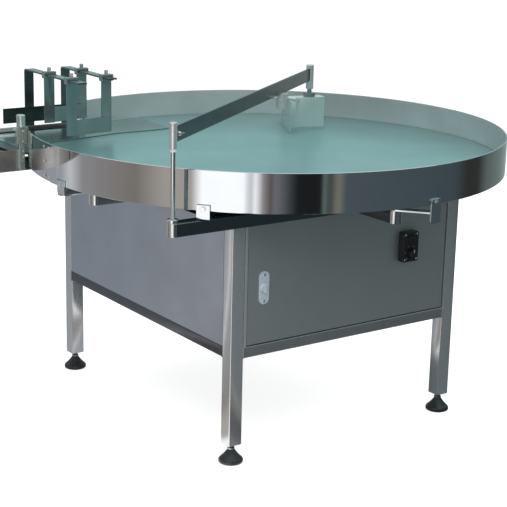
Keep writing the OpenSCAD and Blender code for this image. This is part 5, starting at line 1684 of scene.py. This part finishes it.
    def rail_knobs(self) -> None:
        """Puts a chamfered cap on each knob of the side rail, and screws in its boxes."""
        low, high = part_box("near_rail")
        xs = (high.x - self.knob_from_end, low.x + self.knob_from_start)
        y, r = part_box("conveyor_sides")[0].y - self.knob_out, self.knob_r
        knob = lathe("knob", [(0, -33 * MM), (r - MM, -33 * MM), (r, -32 * MM), (r, -26 * MM),
                              (r - MM, -25 * MM), (r - MM, -23.5 * MM), (r, -22.5 * MM), (r, -MM),
                              (r - 1.4 * MM, 0.4 * MM), (0, 0.6 * MM)], None, 32)
        knobs = [shift(x, y, high.z) for x in xs]
        self.settle(spread("rail_knobs", knob, knobs), Stock.RAIL_BAR)
        screws = [toward((x, low.y, high.z - drop), -ALONG_Y) for x in xs for drop in self.screw_drops]
        self.settle(spread("rail_screws", dome("screw", *self.screw), screws), Stock.PLATED)

    def build(self) -> None:
        """Builds the conveyor."""
        self.ease_all()
        self.screws()
        self.bridges()
        self.rail_knobs()


@dataclass
class Drive(SubAssembly):
    """The gearbox, motor and bearing under the disc."""

    bolts: int = 6  # Bolts of the gearbox cover
    bolt_r: float = 6 * MM  # Corner radius of a cover bolt
    bolt_h: float = 4 * MM  # Height of its head
    bolt_share: float = 0.29  # Radius of the bolts' circle, as a share of the gearbox's width
    cover_t: float = 7 * MM  # Thickness of the cover's rim
    ring_count: int = 4  # Rings in the cowl's grille
    ring_steps: int = 48  # Facets round a ring
    wire_r: float = 1.2 * MM  # Radius of the grille's wire

    eased = {
        "gearbox_case": (Stock.CAST_PAINT, 3 * MM),
        "motor_body": (Stock.CAST_PAINT, 0.6 * MM),
        "bearing_housing": (Stock.CAST_PAINT, 1.5 * MM),
        "fan_cowl": (Stock.BLACK_ABS, 0.6 * MM),
        "bearing_plate": (Stock.TURNED, 0.8 * MM),
        "worm_shaft": (Stock.TURNED, 0.4 * MM, "worm")}

    def cover(self) -> None:
        """Turns the gearbox's lower cover and bolts it on."""
        low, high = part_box("gearbox_case")
        width, t = high.y - low.y, self.cover_t
        cover = lathe("cover", [(0, 0), (0.36 * width, 0), (0.36 * width, t - 2 * MM), (0.33 * width, t),
                                (0.2 * width, t), (0.17 * width, t + 3 * MM), (0, t + 3 * MM)],
                      toward((TABLE_AXIS.x, 0, low.z), -UP))
        self.settle(cover, Stock.CAST_PAINT)
        face = TABLE_AXIS + UP * (low.z - t)
        heads = [toward(face + compass(360 / self.bolts * k) * self.bolt_share * width, -UP)
                 for k in range(self.bolts)]
        head = hex_head("head", self.bolt_r, self.bolt_h)
        self.settle(spread("gearbox_cover_bolts", head, heads), Stock.PLATED)

    def grille(self) -> None:
        """Bends the rings of the grille over the fan."""
        low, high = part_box("fan_cowl")
        centre, radius, rings = (low + high) / 2, (high.x - low.x) / 2, []
        for k in range(self.ring_count):
            r = radius * (0.3 + 0.18 * k)
            turns = [2 * math.pi * i / self.ring_steps for i in range(self.ring_steps)]
            points = [(centre.x + r * math.cos(a), low.y + 0.4 * MM, centre.z + r * math.sin(a))
                      for a in turns]
            rings.append(pipe("ring", points, self.wire_r, closed=True, sides=1))
        self.settle(join("cowl_grille", rings), Stock.BLACK_ABS)

    def build(self) -> None:
        """Eases the castings and adds their bolts and the grille."""
        self.ease_all()
        self.cover()
        self.grille()


# The studio

@dataclass(frozen=True)
class Flag:
    """One upright card of the studio's surround, as seen in polished metal."""

    middle_deg: float  # Its direction from the table's axis, from +X towards +Y
    colour: str  # Its colour
    lift: float = 1.0  # How many times brighter than that it glows


@dataclass
class Studio:
    """Floor, surround, lamps and camera."""

    surround_r: float = 1.9  # Radius of the surround of cards, which only reflections see
    card_top: float = 0.86  # Height of the cards
    card_glow: float = 1.65  # Brightness of the brightest card
    surround_top: float = 2.3  # Height of the pale screens above the cards
    floor_r: float = 40.0  # Radius of the floor
    # The camera's place from the foot of the table's axis
    eye: Vector = Vector((-2.3396, -3.2614, 1.4923))
    pan_deg: float = 35.2155  # Its direction, from +Y towards +X
    tilt_deg: float = 14.9986  # How far it looks down
    roll_deg: float = 1.3356  # Its roll
    focal_px: float = 1414.115  # Its focal length in pixels of a picture image_px wide
    image_px: float = 507.0  # Width of the picture
    film_mm: float = 36.0  # Width of the film
    screen: str = "#b3cfd0"  # Colour of the screens above the cards
    card_blend: float = 0.03  # Half of the height over which cards and screens blend
    air: str = "#eef2f4"  # Colour of the light from all round
    air_glow: float = 0.62  # Brightness of that light
    floor_paint: str = "#b9b9b9"  # The floor's colour under the lamps
    floor_glow: str = "#e6e6e6"  # What the floor adds to that for the camera

    # Name, place from the foot of the table's axis, side in metres and power in watts of each lamp
    LAMPS = (("key_lamp", (-1.6, -2.2, 3.4), 2.4, 90), ("top_lamp", (0.4, 0.6, 3.6), 3.0, 70),
             ("rim_lamp", (2.6, 1.8, 2.6), 1.8, 40))

    FLAGS = (
        Flag(0, "#7d8d89"), Flag(30, "#b4bcbb"), Flag(44, "#6f7c7e"), Flag(86, "#8b9090"),
        Flag(104, "#a3a5ab"), Flag(122, "#a9adb6"), Flag(141, "#b4b8be"), Flag(148, "#e9e8ea"),
        Flag(156, "#a8a6a9"), Flag(184, "#938c85"), Flag(196, "#c2bab3"), Flag(207, "#c6beb7"),
        Flag(211, "#ffffff", 1.65), Flag(227, "#ffffff", 1.65), Flag(228.6, "#b9b7c4", 1.2),
        Flag(230.4, "#ffffff", 1.5), Flag(233.5, "#a8a4a8"), Flag(236, "#6e625c"), Flag(238, "#85848c"),
        Flag(243, "#4d5256"), Flag(246, "#26272a"), Flag(254.5, "#232527"), Flag(256, "#74817d"),
        Flag(258, "#40474a"), Flag(261, "#938f84"), Flag(264, "#58636a"), Flag(300, "#505d64"),
        Flag(316, "#4a585b"), Flag(324, "#3d3a3a"), Flag(333, "#3b3d3c"), Flag(342, "#6a7672"))

    def camera(self) -> None:
        """Makes the camera and sets it as the scene's."""
        pan, tilt, roll = (math.radians(a) for a in (self.pan_deg, self.tilt_deg, self.roll_deg))
        ahead = Vector((math.sin(pan) * math.cos(tilt), math.cos(pan) * math.cos(tilt), -math.sin(tilt)))
        side = Vector((math.cos(pan), -math.sin(pan), 0))
        top = side.cross(ahead)
        right = side * math.cos(roll) + top * math.sin(roll)
        upward = top * math.cos(roll) - side * math.sin(roll)
        lens = bpy.data.cameras.new("camera")
        lens.sensor_width = self.film_mm
        lens.lens = self.film_mm * self.focal_px / self.image_px
        camera = bpy.data.objects.new("camera", lens)
        bpy.context.scene.collection.objects.link(camera)
        turned = Matrix((right, upward, -ahead)).transposed().to_4x4()
        camera.matrix_world = Matrix.Translation(TABLE_AXIS + self.eye) @ turned
        bpy.context.scene.camera = camera

    def seen(self, tree: Tree) -> Socket:
        """Gives 1 for rays from the camera, a mirror or glass, and 0 for the rest."""
        path = add(tree, "ShaderNodeLightPath", {})
        total = path.outputs["Is Camera Ray"]
        for name in ("Is Glossy Ray", "Is Transmission Ray"):
            total = add(tree, "ShaderNodeMath", {"operation": "MAXIMUM"},
                        {0: total, 1: path.outputs[name]}).outputs[0]
        return total

    def floor(self) -> None:
        """Lays the white floor, which keeps the machine's shadow."""
        clear_selection()
        bpy.ops.mesh.primitive_circle_add(vertices=64, radius=self.floor_r, fill_type="NGON")
        ground = fix(bpy.context.object, "studio_floor")
        paint = bpy.data.materials.new("white_studio_floor")
        paint.use_nodes = True
        tree = paint.node_tree
        tree.nodes.clear()
        dull = add(tree, "ShaderNodeBsdfDiffuse", {"Color": linear(self.floor_paint)})
        glow = add(tree, "ShaderNodeEmission", {"Color": linear(self.floor_glow)},
                   {"Strength": self.seen(tree)})
        total = add(tree, "ShaderNodeAddShader", {}, {0: dull.outputs[0], 1: glow.outputs[0]})
        add(tree, "ShaderNodeOutputMaterial", {}, {"Surface": total.outputs[0]})
        ground.data.materials.append(paint)

    def surround(self) -> None:
        """Stands the cards and screens round the machine that its polished metal reflects."""
        wall = lathe("studio_surround", [(0, MM), (self.surround_r, MM), (self.surround_r, self.card_top),
                                         (self.surround_r, self.surround_top)],
                     Matrix.Translation(TABLE_AXIS), steps=96)
        cards = bpy.data.materials.new("studio_cards")
        cards.use_nodes = True
        tree = cards.node_tree
        tree.nodes.clear()
        place = add(tree, "ShaderNodeTexCoord", {}).outputs["Object"]
        centred = add(tree, "ShaderNodeMapping", {"Location": TABLE_AXIS, "Rotation": (0, 0, math.pi)},
                      {"Vector": place})
        turn = add(tree, "ShaderNodeTexGradient", {"gradient_type": "RADIAL"},
                   {"Vector": centred.outputs[0]})
        ramp = add(tree, "ShaderNodeValToRGB", {}, {"Fac": turn.outputs["Fac"]})
        steps = ramp.color_ramp.elements
        for i, flag in enumerate(self.FLAGS):
            step = steps[i] if i < len(steps) else steps.new(1)
            step.position = flag.middle_deg / 360
            step.color = [part * flag.lift / self.card_glow for part in linear(flag.colour)]
        last = steps.new(1)
        last.color = steps[0].color
        height = add(tree, "ShaderNodeSeparateXYZ", {}, {"Vector": place})
        edges = {"From Min": self.card_top - self.card_blend, "From Max": self.card_top + self.card_blend}
        above = add(tree, "ShaderNodeMapRange", edges, {"Value": height.outputs["Z"]})
        screen = tuple(part / self.card_glow for part in linear(self.screen))
        tone = add(tree, "ShaderNodeMix", {"data_type": "RGBA", 7: screen},
                   {0: above.outputs[0], 6: ramp.outputs[0]})
        glow = add(tree, "ShaderNodeEmission", {"Strength": self.card_glow}, {"Color": tone.outputs[2]})
        add(tree, "ShaderNodeOutputMaterial", {}, {"Surface": glow.outputs[0]})
        wall.data.materials.append(cards)
        for ray in ("camera", "diffuse", "transmission", "volume_scatter", "shadow"):
            setattr(wall, f"visible_{ray}", False)

    def lamp(self, name: str, place: PointLike, size: float, power: float) -> None:
        """Hangs one square soft lamp that looks at the table.

        Args:
            name: Its name.
            place: Its place from the foot of the table's axis.
            size: Its side.
            power: Its power in watts.
        """
        light = bpy.data.lights.new(name, "AREA")
        light.shape = "SQUARE"
        light.size = size
        light.energy = power
        lamp = bpy.data.objects.new(name, light)
        bpy.context.scene.collection.objects.link(lamp)
        away = Vector(place) - Vector((0, 0, DISC_HIGH.z))
        lamp.matrix_world = toward(TABLE_AXIS + Vector(place), away)
        lamp.visible_glossy = False

    def sky(self) -> None:
        """Sets the plain soft light from all round and the white background."""
        world = bpy.data.worlds.new("studio_air")
        bpy.context.scene.world = world
        world.use_nodes = True
        tree = world.node_tree
        tree.nodes.clear()
        soft = add(tree, "ShaderNodeBackground", {"Color": linear(self.air), "Strength": self.air_glow})
        white = add(tree, "ShaderNodeBackground", {"Color": linear("#ffffff"), "Strength": 1.0})
        mixed = add(tree, "ShaderNodeMixShader", {},
                    {0: self.seen(tree), 1: soft.outputs[0], 2: white.outputs[0]})
        add(tree, "ShaderNodeOutputWorld", {}, {"Surface": mixed.outputs[0]})

    def build(self) -> None:
        """Sets up the whole studio."""
        self.camera()
        self.floor()
        self.surround()
        self.sky()
        for lamp in self.LAMPS:
            self.lamp(*lamp)
        bpy.context.scene.view_settings.view_transform = "Standard"


def main() -> None:
    """Builds the studio and each sub-assembly."""
    logging.basicConfig(level=logging.INFO, format="%(message)s")
    Studio().build()
    for part in (LegFrame, SupportBeams, Feet, GuardWall, WallBrackets, Turntable, Cabinet, Door, SweepArm,
                 Deflector, Conveyor, Drive):
        log.info("building %s", part.__name__)
        part().build()


if __name__ == "__main__":
    main()
